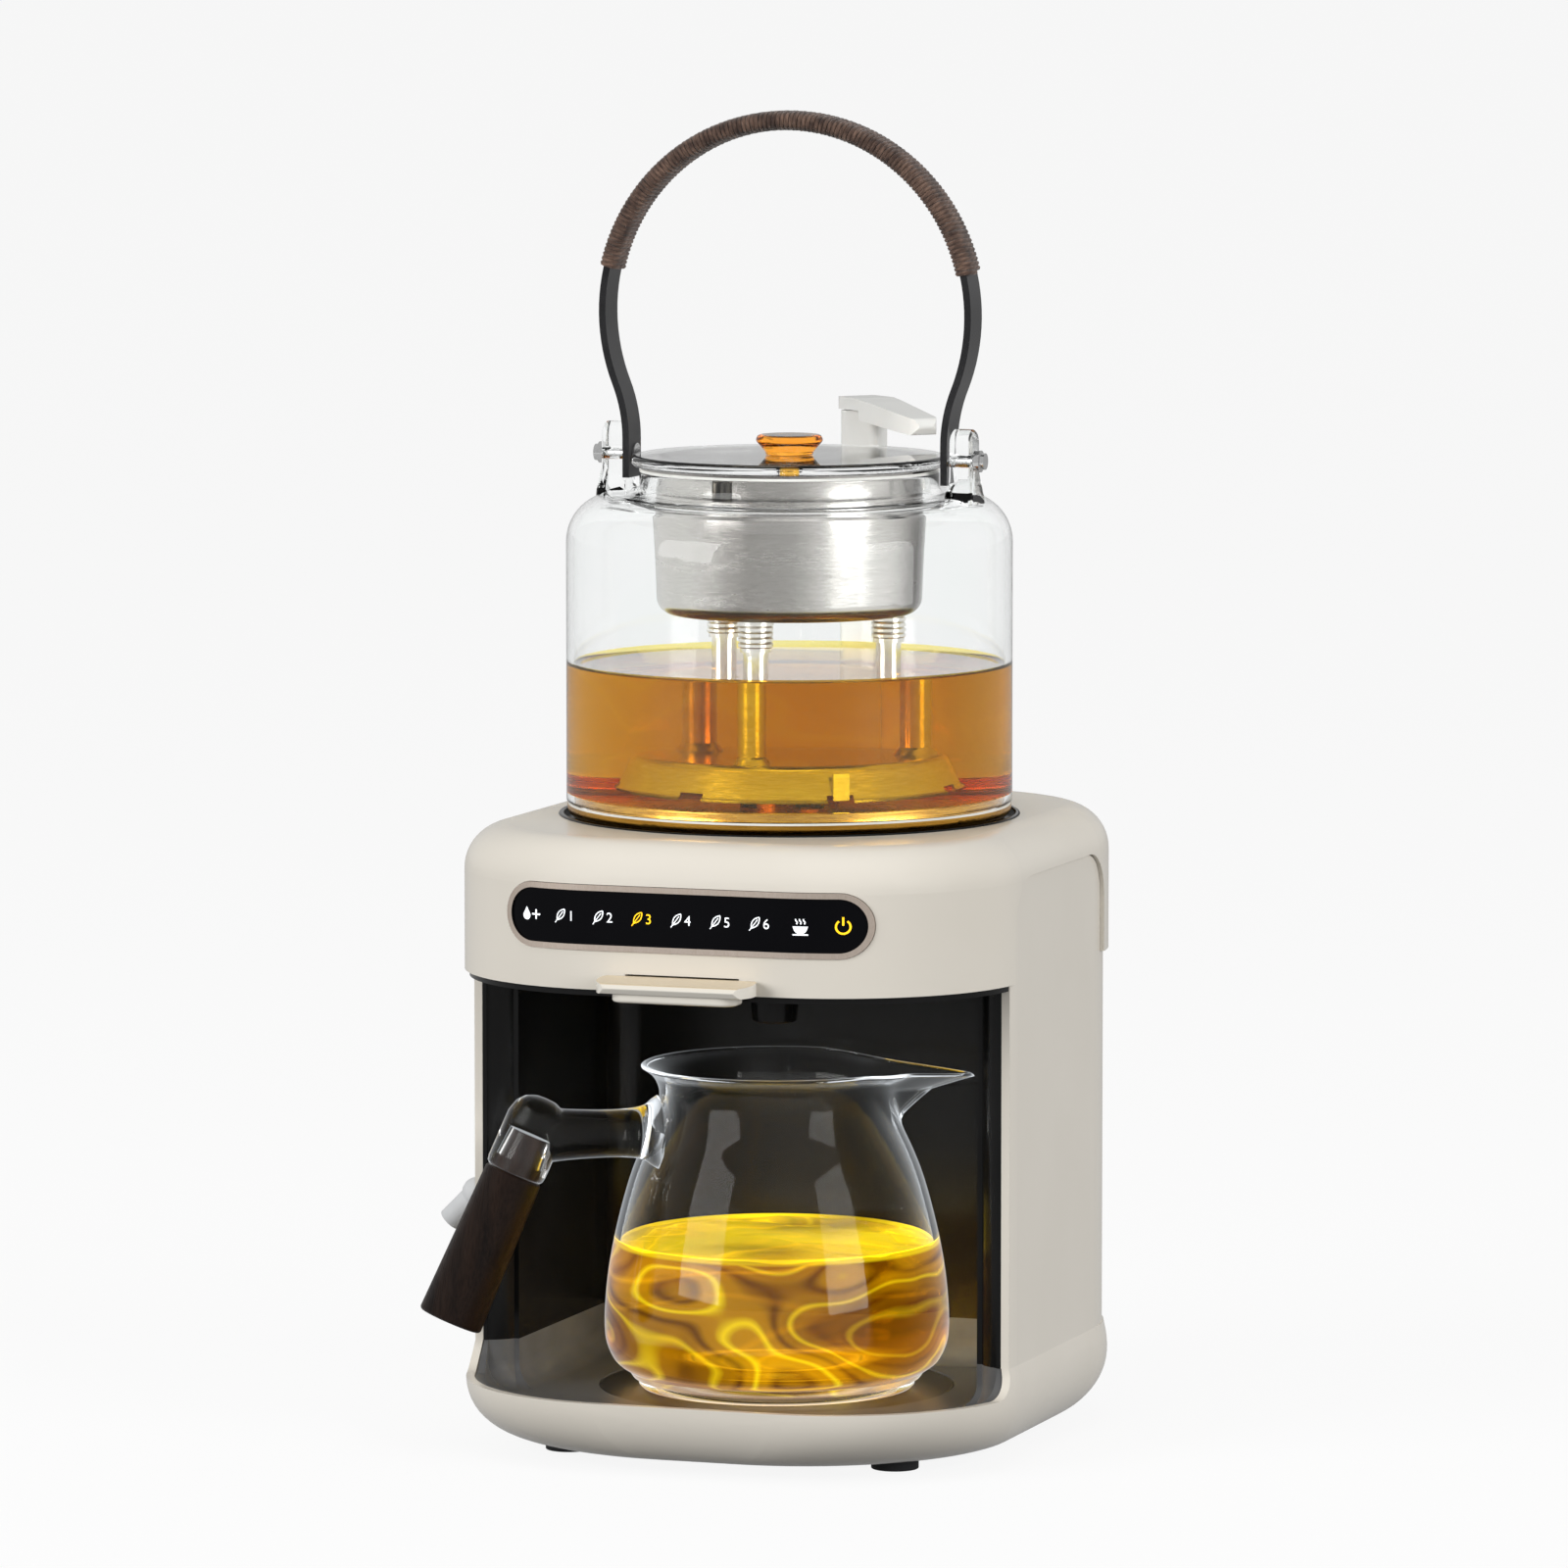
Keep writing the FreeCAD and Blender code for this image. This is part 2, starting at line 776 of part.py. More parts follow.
def drain_lever():
    """Thumb lever: a wide paddle outside, a tongue through the slot and a fork to the rod."""
    back = -half_depth - 0.9
    nose = back - paddle_reach
    half = paddle_width / 2
    low = head_bottom
    blade = side_prism(
        [(back, low + 0.6), (back, low + 4.8), (nose + 1, low + 3.6, 0.9),
         (nose, low + 2.2, 0.5), (nose + 1.4, low + 0.4, 0.6)], -half, half)
    blade = blade.common(plan_prism(
        [(-half, nose - 1, 8.5), (half, nose - 1, 8.5), (half, back + 1, 4), (-half, back + 1, 4)],
        low - 6, low + 14))
    half = step_width / 2
    step = plan_prism(
        [(-half, nose + 2.4, 5), (half, nose + 2.4, 5), (half, back - 0.4, 1),
         (-half, back - 0.4, 1)], low - 2.4, low + 0.8)
    step = step.makeFillet(1.0, edges_at(step, at_level(low - 2.4)))
    half = tongue_width / 2
    root = lever_pivot_y - 20
    tongue = box(-half, half, back - 0.5, root, low + 2.0, low + 4.4)
    arms = mirrored(side_prism(
        [(root - 0.5, low + 2.0), (lever_pivot_y, low + 2.0, 3), (2.5, low + 2.9, 2),
         (2.5, low + 8.1, 2), (lever_pivot_y, low + 10.1, 3), (root - 0.5, low + 4.4)],
        arm_inner, arm_inner + lever_arm_width))
    lever = fused([blade, step, tongue] + arms)
    beyond = arm_inner + lever_arm_width + 10
    pivot = rod(lever_pin_radius + running_gap, Vector(-beyond, lever_pivot_y, lever_pivot_z),
                Vector(beyond, lever_pivot_y, lever_pivot_z))
    seat = rod(lever_bar_radius - 1, Vector(-beyond, 0, lever_pivot_z), Vector(beyond, 0, lever_pivot_z))
    return lever.cut(pivot).cut(seat)


def lever_bar():
    """Steel bar across the fork, under the push rod, its ends riveted in the arms."""
    inner = arm_inner
    outer = arm_inner + lever_arm_width
    ends = rod(lever_bar_radius - 1, Vector(-outer, 0, lever_pivot_z), Vector(outer, 0, lever_pivot_z))
    return fused([ends, rod(lever_bar_radius, Vector(-inner, 0, lever_pivot_z),
                            Vector(inner, 0, lever_pivot_z))])


def lever_bracket():
    """Folded bracket on the ceiling with an ear outside each arm of the fork."""
    inner = arm_inner + lever_arm_width + 0.8
    outer = inner + 1.4
    top = lever_pivot_z + 4.2
    strip = box(-outer - 2.1, outer + 2.1, lever_pivot_y - 6, lever_pivot_y + 6,
                head_bottom, head_bottom + 1)
    ears = mirrored(side_prism(
        [(lever_pivot_y - 6, head_bottom), (lever_pivot_y + 6, head_bottom),
         (lever_pivot_y + 4, top, 3.6), (lever_pivot_y - 4, top, 3.6)], inner, outer))
    return fused([strip] + ears).cut(
        rod(lever_pin_radius, Vector(-outer - 5, lever_pivot_y, lever_pivot_z),
            Vector(outer + 5, lever_pivot_y, lever_pivot_z)))


def lever_pin():
    edge = arm_inner + lever_arm_width + 2.2
    pin = rod(lever_pin_radius, Vector(-edge - 1.2, lever_pivot_y, lever_pivot_z),
              Vector(edge + 1.2, lever_pivot_y, lever_pivot_z))
    head = rod(lever_pin_radius + 1.1, Vector(edge, lever_pivot_y, lever_pivot_z),
               Vector(edge + 1.2, lever_pivot_y, lever_pivot_z))
    return pin.fuse(head)


# ---------------------------------------------------------------- water side

def filler_post():
    """Upright post behind the kettle, bored for the riser hose and the arm's spigot."""
    half = filler_post_width / 2
    post = plan_prism(rectangle(filler_x, filler_y, half, half, filler_post_corner), head_top,
                      filler_post_top)
    post = post.fuse(cylinder(post_stem_radius, head_top - 13.5, head_top + 0.5, filler_x, filler_y))
    post = post.cut(cylinder(filler_hose_radius + 0.1, head_top - 20, filler_post_top + 5,
                             filler_x, filler_y))
    return post.cut(cylinder(arm_spigot_radius + arm_gap, filler_post_top - 9, filler_post_top + 3,
                             filler_x, filler_y))


def filler_arm():
    """Swivelling spout: a cap over the post and a tapering channel down to the outlet."""
    low = filler_post_top + 0.3
    top = low + 3.9
    half = filler_post_width / 2 + 0.5
    past = filler_post_sweep + 0.3
    end = filler_length
    body = front_prism(
        [(-half, low), (past, low, 0.2), (past + 0.3, low - 3.0, 1.5),
         (end - 2.5, low - 6.2, 2.0), (end, low - 3.4, 1.6), (end - 1.5, low - 0.8, 1.8),
         (half + 7, top - 0.9, 14), (half, top), (-half, top, 1.1)], -half, half)
    taper = plan_prism(
        [(-half, -half, 3.2), (half + 2, -half, 8), (end, -half + 2.2, 4.0),
         (end, half - 2.2, 4.0), (half + 2, half, 8), (-half, half, 3.2)], low - 20, top + 10)
    spigot = cylinder(arm_spigot_radius, low - 8, low + 0.3)
    channel = Part.makeCylinder(1.8, end - 6, Vector(0, 0, low - 0.6), Vector(1, 0, -0.075))
    outlet = cylinder(1.8, low - 10, low - 2.5, end - 6, 0)
    feed = cylinder(arm_spigot_radius - 1.8, low - 9, low - 0.5)
    arm = fused([body.common(taper), spigot]).cut(fused([channel, outlet, feed]))
    arm.rotate(Vector(0, 0, 0), Vector(0, 0, 1), filler_heading)
    arm.translate(Vector(filler_x, filler_y, 0))
    return arm


def water_inlet():
    """Angled spigot on the left wall that takes the supply hose, with an elbow inside."""
    def at(x):
        return Vector(x, spigot_y, spigot_z)

    face = -half_width + column_step
    along = Vector(-1, 0, -1).normalize()
    knee = at(face - 5.2)
    sleeve = spigot_radius + 0.6
    elbow = at(elbow_x)
    body = fused([
        rod(7.5, at(face - 1.6), at(face)), rod(spigot_neck, at(face), at(face + wall + 1.5)),
        rod(sleeve, at(face - 1.2), knee),
        Part.makeSphere(math.hypot(spigot_radius, spigot_bend), knee),
        rod(spigot_radius, knee, knee + along * spigot_length),
        Part.makeSphere(3.2, elbow), rod(3.2, at(face + wall), elbow),
        rod(inlet_hose_bore - 0.05, elbow, elbow + Vector(0, 12, 0))])
    bore = fused([rod(2.2, knee, knee + along * (spigot_length + 1)), rod(2.2, knee, elbow)])
    return body.cut(bore).cut(rod(1.4, elbow, elbow + Vector(0, 13, 0)))


def water_pump():
    """Small diaphragm pump: motor can, pump head and two hose stubs."""
    p = pump_place
    head_half = pump_radius + 2
    can = rod(pump_radius, p + Vector(-6, 0, 0), p + Vector(34, 0, 0))
    cap = rod(5, p + Vector(34, 0, 0), p + Vector(37, 0, 0))
    head = Part.makeBox(14, 2 * head_half, 2 * head_half, p + Vector(-20, -head_half, -head_half))
    head = head.makeFillet(3, [e for e in head.Edges if abs(e.tangentAt(e.FirstParameter).x) > 0.9])
    stubs = [rod(inlet_hose_bore - 0.05, p + Vector(-20, 0, 8), p + Vector(-26, 0, 8)),
             rod(filler_hose_bore - 0.05, p + Vector(-13, 0, head_half),
                 p + Vector(-13, 0, head_half + 10))]
    sole = -head_half - 1.2
    feet = [Part.makeBox(36, 34, 2.4, p + Vector(-8, -17, sole)),
            Part.makeBox(30, 16, 6, p + Vector(-4, -8, sole + 0.2))]
    return fused([can, cap, head] + stubs + feet)


def inlet_hose():
    """Hose from the spigot's elbow, back past the bay wall, to the pump."""
    p = pump_place
    return tube([Vector(elbow_x, spigot_y + 4.6, spigot_z), Vector(elbow_x, bay_back - 4, spigot_z),
                 Vector(-half_width + 14.5, bay_back + 17, p.z + 14),
                 p + Vector(-31, 0, 8), p + Vector(-20.2, 0, 8)],
                inlet_hose_radius, 8, inlet_hose_bore)


def filler_hose():
    """Hose from the pump up into the filler post."""
    start = pump_place + Vector(-13, 0, pump_radius + 2.2)
    return tube([start, Vector(start.x, start.y, seam_level + 85),
                 Vector(filler_x, filler_y, head_bottom - 8.5),
                 Vector(filler_x, filler_y, head_top - 1)], filler_hose_radius, 14, filler_hose_bore)


def power_board():
    """Power board upright behind the bay, with its larger parts."""
    y = bay_back + liner_wall + 8
    face = y + 1.6
    low = seam_level + board_rise
    high = low + board_height
    board = box(6, 74, y, face, low, high)
    parts = [box(14, 36, face, face + 19.4, high - 36, high - 8),
             box(44, 60, face, face + 15.4, high - 28, high - 10),
             rod(5, Vector(46, face, low + 28), Vector(46, face + 18.4, low + 28)),
             rod(5, Vector(59, face, low + 28), Vector(59, face + 18.4, low + 28)),
             box(14, 30, face, face + 12.4, low + 8, low + 22)]
    posts = [rod(3, Vector(x, bay_back + liner_wall, z), Vector(x, y, z))
             for x in (10, 70) for z in (low + 4, high - 4)]
    return fused([board] + parts + posts)


def power_inlet():
    """Two-pin appliance inlet in the rear wall."""
    back = half_depth - column_back_step
    flange = front_prism(power_outline(3.0, 5), back, back + 1.4)
    body = front_prism(power_outline(0.0, 3), back - 16, back)
    mouth = front_prism(slot(10, 5.5, power_x, power_z), back - 13, back + 2)
    pins = [rod(1.2, Vector(power_x + x, back - 13, power_z), Vector(power_x + x, back - 2, power_z))
            for x in (-4.3, 4.3)]
    return fused([fused([flange, body]).cut(mouth)] + pins)


# ---------------------------------------------------------------- kettle

def kettle_form():
    """The glass body filled solid: wall, drawn-in shoulder and neck."""
    low = seat_level + trim_height + gasket_height
    return turned(
        [(0, low), (kettle_radius, low), (kettle_radius, shoulder_level, shoulder_round),
         (neck_radius, shoulder_level, 2.5), (neck_radius, neck_level, 1.0), (0, neck_level)])


def kettle_glass():
    """Blown glass wall with a drawn-in shoulder and neck."""
    low = seat_level + trim_height + gasket_height
    inside = kettle_radius - kettle_glass_wall
    ceiling = shoulder_level - kettle_glass_wall
    inner = turned(
        [(0, low - 1), (inside, low - 1), (inside, ceiling, shoulder_round - kettle_glass_wall),
         (neck_bore, ceiling, 2.5 + kettle_glass_wall), (neck_bore, neck_level + 1),
         (0, neck_level + 1)])
    return kettle_form().cut(inner)


def kettle_ears():
    """Two pierced glass ears, melted onto the shoulder."""
    half = ear_width / 2
    ear = side_prism(
        [(-half, shoulder_level - 4), (half, shoulder_level - 4), (half, ear_top, half * 0.98),
         (-half, ear_top, half * 0.98)], ear_inner, ear_outer)
    beyond = ear_outer + 20
    return [e.cut(kettle_form()).cut(rod(pin_radius, Vector(-beyond, 0, pin_level),
                                         Vector(beyond, 0, pin_level))) for e in mirrored(ear)]


def kettle_gasket():
    low = seat_level + trim_height
    return ring(kettle_radius - 0.5, kettle_radius - kettle_glass_wall - 0.3, low,
                low + gasket_height)


def kettle_base():
    """Metal floor with a trim band below the glass and a hole for the valve's seat."""
    band = seat_level + trim_height
    plug = kettle_radius - kettle_glass_wall - 0.4
    hole = valve_hole + valve_seat_width
    return turned(
        [(hole, seat_level), (kettle_radius - 0.3, seat_level, 3.6), (kettle_radius - 0.3, band),
         (plug, band), (plug, band + 3.6, 0.4), (plug - 1, band + 3.6, 0.4),
         (plug - 1, floor_level, 2.0), (hole, floor_level)])


def valve_seat():
    """Ring set into the kettle's floor that the drain valve closes."""
    outer = valve_hole + valve_seat_width
    low = seat_level - 2.6
    return turned([(valve_hole, low), (outer, low, 0.5), (outer, floor_level),
                   (valve_hole, floor_level)])


def valve_cage():
    """Windowed cap over the valve that guides its stem."""
    guide = rod_radius + 0.1
    outer = valve_hole + 5.4
    top = floor_level + cage_height
    cap = turned(
        [(guide, top), (outer, top, 1.5), (outer, floor_level), (outer - 1, floor_level),
         (outer - 1, top - 1), (guide, top - 1)])
    for turn in (45, 135):
        window = box(-20, 20, -4.5, 4.5, floor_level + 1.6, top - 2.6)
        window.rotate(Vector(0, 0, 0), Vector(0, 0, 1), turn)
        cap = cap.cut(window)
    return cap


def valve_plunger():
    """Valve head and stem; the stem's lower end meets the push rod."""
    head = valve_hole + 2.2
    low = floor_level + 0.8
    top = floor_level + cage_height - 0.4
    return turned(
        [(0, rod_top + 0.3), (rod_radius, rod_top + 0.3, 0.5), (rod_radius, low), (head, low),
         (head, low + 1.4, 0.5), (rod_radius, low + 1.4), (rod_radius, top, 0.5), (0, top)])


def valve_seal():
    return ring(valve_hole + 2, rod_radius, floor_level, floor_level + 0.8)


def valve_spring():
    return coil(valve_hole - 1, valve_wire, floor_level + 2.25, floor_level + cage_height - 1.05, 3)


# ---------------------------------------------------------------- infuser

def riser_places():
    places = []
    for turn in (-90, 30, 150):
        a = math.radians(turn)
        places.append((riser_circle * math.cos(a), riser_circle * math.sin(a)))
    return places


def infuser_basket():
    """Spun steel basket that hangs by its flange in the kettle's neck."""
    top = gasket_top + sheet
    throat = basket_radius - 1
    foot = basket_radius - 1.4
    ledge = strainer_radius - 1.4
    basket = turned(
        [(throat - sheet, top), (flange_radius, top), (flange_radius, gasket_top),
         (throat, gasket_top), (throat, neck_level - 10.0), (basket_radius, neck_level - 11.8),
         (foot, basket_bottom, 5.0), (ledge, basket_bottom), (ledge, basket_bottom + sheet),
         (foot - sheet, basket_bottom + sheet, 4.2), (basket_radius - sheet, neck_level - 12.0),
         (throat - sheet, neck_level - 10.2)])
    window = box(-11, -4, -neck_radius, -throat + 12, neck_level - 8.6, neck_level - 1.2)
    holes = [cylinder(riser_radius + 0.05, basket_bottom - 2, basket_bottom + 3, x, y)
             for x, y in riser_places()]
    return basket.cut(Part.makeCompound(holes)).cut(window)


def basket_strainer():
    """Perforated floor that drops into the basket."""
    low = basket_bottom + sheet
    cuts = [cylinder(riser_radius + 0.05, low - 1, low + 3, x, y) for x, y in riser_places()]
    inner = riser_circle - riser_radius
    for row in (1, 2, 3):
        radius = row * (inner - 3.5) / 3.4
        count = 6 * row
        for i in range(count):
            a = 2 * math.pi * (i + 0.5) / count
            cuts.append(cylinder(strainer_hole, low - 1, low + 3,
                                 radius * math.cos(a), radius * math.sin(a)))
    return cylinder(strainer_radius, low, low + sheet).cut(Part.makeCompound(cuts))


def riser_tubes():
    """Three tubes that carry the boiling water from the dome up into the basket."""
    inner = riser_radius - riser_wall
    return [turned(
        [(inner, dome_top - sheet), (riser_radius, dome_top - sheet), (riser_radius, dome_top),
         (riser_radius + 1.7, dome_top), (riser_radius + 0.6, dome_top + 1.8),
         (riser_radius, dome_top + 2.4), (riser_radius, riser_top, 0.3), (inner, riser_top)],
        x, y) for x, y in riser_places()]


def riser_nuts():
    """Ridged union nut on each tube, tight under the basket."""
    bore = riser_radius + 0.02
    root = riser_radius + 0.9
    crest = riser_radius + 1.5
    ridge_pitch = 1.7
    ridges = 4
    top = basket_bottom
    profile = [(bore, top), (crest + 0.2, top), (crest + 0.2, top - 1.2), (root, top - 1.5)]
    for i in range(ridges):
        z = top - 1.9 - i * ridge_pitch
        profile += [(crest, z), (crest, z - 0.9), (root, z - 1.3)]
    end = top - 2.8 - ridges * ridge_pitch
    profile += [(root, end), (bore, end)]
    return [turned(profile, x, y) for x, y in riser_places()]


def dome_form():
    """Shallow inverted pan with its holes and notches, before it is parted."""
    shell = turned(
        [(0, dome_top), (0, dome_top - sheet), (dome_radius - 4.4, dome_top - sheet, 2.4),
         (dome_radius - sheet, dome_bottom + 1.2, 0.6), (dome_radius - sheet, dome_bottom),
         (dome_radius + 0.9, dome_bottom), (dome_radius + 0.9, dome_bottom + sheet),
         (dome_radius, dome_bottom + sheet + 0.4), (dome_radius - 3.6, dome_top, 3.2)])
    for x, y in riser_places():
        shell = shell.cut(cylinder(riser_radius, dome_top - 3, dome_top + 2, x, y))
    for i in range(6):
        notch = box(30, 50, -4, 4, dome_bottom - 1, dome_bottom + 2.4)
        notch.rotate(Vector(0, 0, 0), Vector(0, 0, 1), 60 * i + 9)
        shell = shell.cut(notch)
    return shell


def dome_crown():
    return cylinder(dome_radius - 6, dome_bottom, dome_top + 1)


def steam_dome():
    """Flat crown of the pan that gathers the boiling water under the tubes."""
    return dome_form().common(dome_crown())


def dome_skirt():
    """Rim of the pan, with a spring clip and notches that let the water in."""
    skirt = dome_form().cut(dome_crown())
    clip = box(dome_radius - 0.6, dome_radius + 0.8, -2.4, 2.4, dome_bottom + sheet, dome_top - 2)
    clip.rotate(Vector(0, 0, 0), Vector(0, 0, 1), -51)
    return skirt.fuse(clip)


def neck_gasket():
    return ring(flange_radius + 0.4, neck_bore + 0.2, neck_level, gasket_top)


# ---------------------------------------------------------------- lid

def lid_glass():
    """Flat glass lid with a ring that locates it in the basket's mouth."""
    ring_outer = basket_radius - 1 - sheet - 0.5
    bore = knob_stem + 0.1
    return turned(
        [(bore, lid_bottom), (ring_outer - 2.4, lid_bottom),
         (ring_outer - 2.4, lid_bottom - lid_locating, 0.6),
         (ring_outer, lid_bottom - lid_locating, 0.6),
         (ring_outer, lid_bottom), (lid_radius, lid_bottom, 1.2), (lid_radius, lid_top, 1.6),
         (bore, lid_top)])


def lid_knob():
    """Flared glass knob on a short stem through the lid."""
    waist = knob_stem + 4.3
    return turned(
        [(0, lid_bottom), (knob_stem, lid_bottom), (knob_stem, lid_top), (waist, lid_top, 0.6),
         (waist + 0.2, lid_top + 1.0, 0.8), (knob_radius, knob_top - 1.9, 1.2),
         (knob_radius - 0.6, knob_top, 1.4), (0, knob_top)])


def lid_screw():
    head = knob_stem + 2.1
    return turned([(0, lid_bottom - 1.8), (head, lid_bottom - 1.8, 0.8), (head, lid_bottom),
                   (0, lid_bottom)])


# ---------------------------------------------------------------- drop handle

def strap_band(width):
    """Prism of the handle's flat strap: foot, reversed bend and round arch."""
    sway = math.radians(strap_sway)
    bend = (arch_radius * math.cos(sway) - strap_foot) / (1 - math.cos(sway))
    bend_z = arch_centre - (arch_radius + bend) * math.sin(sway)
    bottom = pin_level - strap_tail

    def half_path(sign, shift):
        arch = arch_radius + shift
        hollow = bend - shift
        points = [Vector(sign * (strap_foot + shift), 0, bottom),
                  Vector(sign * (strap_foot + shift), 0, bend_z)]
        centre = Vector(sign * (strap_foot + bend), 0, bend_z)
        for a in (sway / 2, sway):
            points.append(centre + Vector(-sign * hollow * math.cos(a), 0, hollow * math.sin(a)))
        for a in (-sway / 2 + math.pi / 8, math.pi / 2):
            points.append(Vector(sign * arch * math.cos(a), 0, arch_centre + arch * math.sin(a)))
        return points

    half = strap_thickness / 2
    edges = []
    for shift in (half, -half):
        for sign in (-1, 1):
            foot, knee, hollow, joint, flank, crown = half_path(sign, shift)
            edges.append(Part.LineSegment(foot, knee).toShape())
            edges.append(Part.Arc(knee, hollow, joint).toShape())
            edges.append(Part.Arc(joint, flank, crown).toShape())
    for sign in (-1, 1):
        edges.append(Part.LineSegment(Vector(sign * (strap_foot + half), 0, bottom),
                                      Vector(sign * (strap_foot - half), 0, bottom)).toShape())
    band = Part.Face(Part.Wire(Part.__sortEdges__(edges))).extrude(Vector(0, width, 0))
    band.translate(Vector(0, -width / 2, 0))
    return band


def bail_strap():
    beyond = ear_outer + 20
    return strap_band(strap_width).cut(rod(
        pin_radius + running_gap, Vector(-beyond, 0, pin_level), Vector(beyond, 0, pin_level)))


def bail_wrap():
    """Cord winding round the arch of the handle."""
    outer = arch_radius + wrap_thickness / 2
    inner = arch_radius - wrap_thickness / 2
    half = wrap_width / 2
    face = Part.Face(rounded_wire(
        [(inner, -half, 2.0), (outer, -half, 2.4), (outer, half, 2.4), (inner, half, 2.0)],
        plan(arch_centre)))
    face.rotate(Vector(0, 0, arch_centre), Vector(0, 1, 0), -wrap_start)
    sleeve = face.revolve(Vector(0, 0, arch_centre), Vector(0, 1, 0), -(180 - 2 * wrap_start))
    return sleeve.cut(strap_band(strap_width))


def bail_pins():
    """Shouldered pins through the ears, with a cap nut outside."""
    pins = []
    for sign in (-1, 1):
        def at(x):
            return Vector(sign * x, 0, pin_level)
        inner = strap_foot - strap_thickness / 2
        pins.append(fused([
            rod(pin_radius + 1.2, at(inner - 0.8), at(inner - 0.1)),
            rod(pin_radius, at(inner - 0.2), at(ear_outer + 3.4)),
            rod(pin_radius + 1.4, at(ear_outer), at(ear_outer + 2.0)),
            rod(pin_radius + 0.6, at(ear_outer + 1.8), at(ear_outer + 3.4))]))
    return pins


# ---------------------------------------------------------------- jug

def smooth_edge(points):
    """Smooth curve through (radius, z) points in the front plane."""
    curve = Part.BSplineCurve()
    curve.interpolate([Vector(r, 0, z) for r, z in points])
    return curve.toShape()


def jug_form(shrink, rim_extra):
    """Solid of revolution of the jug's outside, or of its inside when shrunk by the wall."""
    low = plate_level + 4.5 + 1.2 * shrink
    points = [(jug_radius - 7.6, low), (jug_radius - 2.6, plate_level + 9.2),
              (jug_radius, plate_level + jug_belly)]
    for share, rise in ((0.894, 0.294), (0.547, 0.633), (0.118, 0.884), (0.0, 1.0)):
        points.append((jug_neck_radius + share * (jug_radius - jug_neck_radius),
                       plate_level + jug_belly + rise * (jug_neck - jug_belly)))
    points = [(r - shrink, z) for r, z in points]
    neck = Vector(points[-1][0], 0, points[-1][1])
    rim = Vector(jug_rim_radius - shrink, 0, rim_level + rim_extra)
    bend = (neck + rim) / 2 + Vector(-1.2, 0, 0.8)
    edges = [smooth_edge(points), Part.Arc(neck, bend, rim).toShape(),
             Part.LineSegment(rim, Vector(0, 0, rim.z)).toShape(),
             Part.LineSegment(Vector(0, 0, rim.z), Vector(0, 0, low)).toShape(),
             Part.LineSegment(Vector(0, 0, low), Vector(points[0][0], 0, low)).toShape()]
    return Part.Face(Part.Wire(edges)).revolve(Vector(0, 0, 0), Vector(0, 0, 1), 360)


def spout_form(shrink, rim_extra):
    """Loft of the pouring lip, from inside the wall out to its tip."""
    wires = []
    for drop, tip, spread, nose in ((20.0, -3.8, 12.0, 5.0), (10.5, 5.4, 22.0, 3.0),
                                    (spout_dip, spout_length, 28.0, 3.0),
                                    (-rim_extra, spout_length + 3.5, 31.0, 3.0)):
        reach = jug_rim_radius + tip - shrink
        half = spread - shrink
        root = jug_rim_radius / 2
        wires.append(rounded_wire(
            [(root, -half), (reach, -0.2 - nose * 0.45, nose * 0.4),
             (reach, 0.2 + nose * 0.45, nose * 0.4), (root, half)], plan(rim_level - drop)))
    loft = Part.makeLoft(wires, True, False)
    loft.rotate(Vector(0, 0, 0), Vector(0, 0, 1), 180)
    return loft


def rim_dip():
    """What the rim loses towards the tip of the lip."""
    tip = jug_rim_radius + spout_length
    start = jug_rim_radius / 2
    return front_prism(
        [(-start, rim_level), (-tip, rim_level - spout_dip), (-tip - 6, rim_level - spout_dip),
         (-tip - 6, rim_level + 5), (-start, rim_level + 5)], -jug_rim_radius, jug_rim_radius)


def jug_placed(shape):
    """Turn a piece from the handle's plane to its place on the warming plate."""
    shape.rotate(Vector(0, 0, 0), Vector(0, 0, 1), jug_turn)
    shape.translate(Vector(0, jug_place, 0))
    return shape


def jug_glass():
    """Blown jug with a foot ring and a pouring lip."""
    foot_edge = jug_radius - 7.8
    foot = ring(foot_edge - 3.0, foot_edge - 8.0, plate_level, plate_level + 5.8).fuse(
        turned([(0, plate_level + 2.8), (foot_edge, plate_level + 2.8, 1.5),
                (foot_edge + 0.4, plate_level + 5.8), (0, plate_level + 5.8)]))
    solid = fused([jug_form(0.0, 0.0), foot, spout_form(0.0, 0.0)])
    return jug_placed(solid.cut(jug_form(jug_wall, 0.5)).cut(spout_form(jug_wall, 0.5)).cut(rim_dip()))


def grip_line():
    """Elbow, socket top, top and end of the grip, in the handle's plane."""
    tilt = math.radians(grip_tilt)
    down = Vector(math.sin(tilt), 0, -math.cos(tilt))
    top = Vector(jug_radius + grip_out, 0, plate_level + grip_height)
    rise = socket_height - grip_height
    elbow = Vector(top.x - math.tan(tilt) * rise, 0, plate_level + socket_height)
    return elbow, top - down * 19.0, top, top + down * grip_length


def grip_peg(gap):
    """Tapered peg of the grip that fits the glass socket."""
    _, _, top, end = grip_line()
    down = (end - top).normalize()
    return Part.makeCone(socket_radius - 4 + gap, socket_radius - 3 + gap, 13.0,
                         top - down * 12.9, down)


def jug_socket():
    """Glass stub and socket that carry the grip, melted onto the jug's wall."""
    elbow, socket_top, grip_top, _ = grip_line()
    bore = socket_radius - 1.9
    stub = rod(bore, Vector(jug_neck_radius, 0, elbow.z), elbow)
    weld = Part.makeCone(bore + 2.5, bore, 9, Vector(jug_neck_radius + 5.5, 0, elbow.z),
                         Vector(1, 0, 0))
    cap = Part.makeSphere(socket_radius, socket_top).common(
        box(0, 200, -50, 50, elbow.z - 40, socket_top.z + socket_radius - 3.1))
    socket = fused([stub, weld, rod(socket_radius, socket_top, grip_top), cap])
    return jug_placed(socket.cut(jug_form(0.0, 0.0)).cut(grip_peg(0.15)))


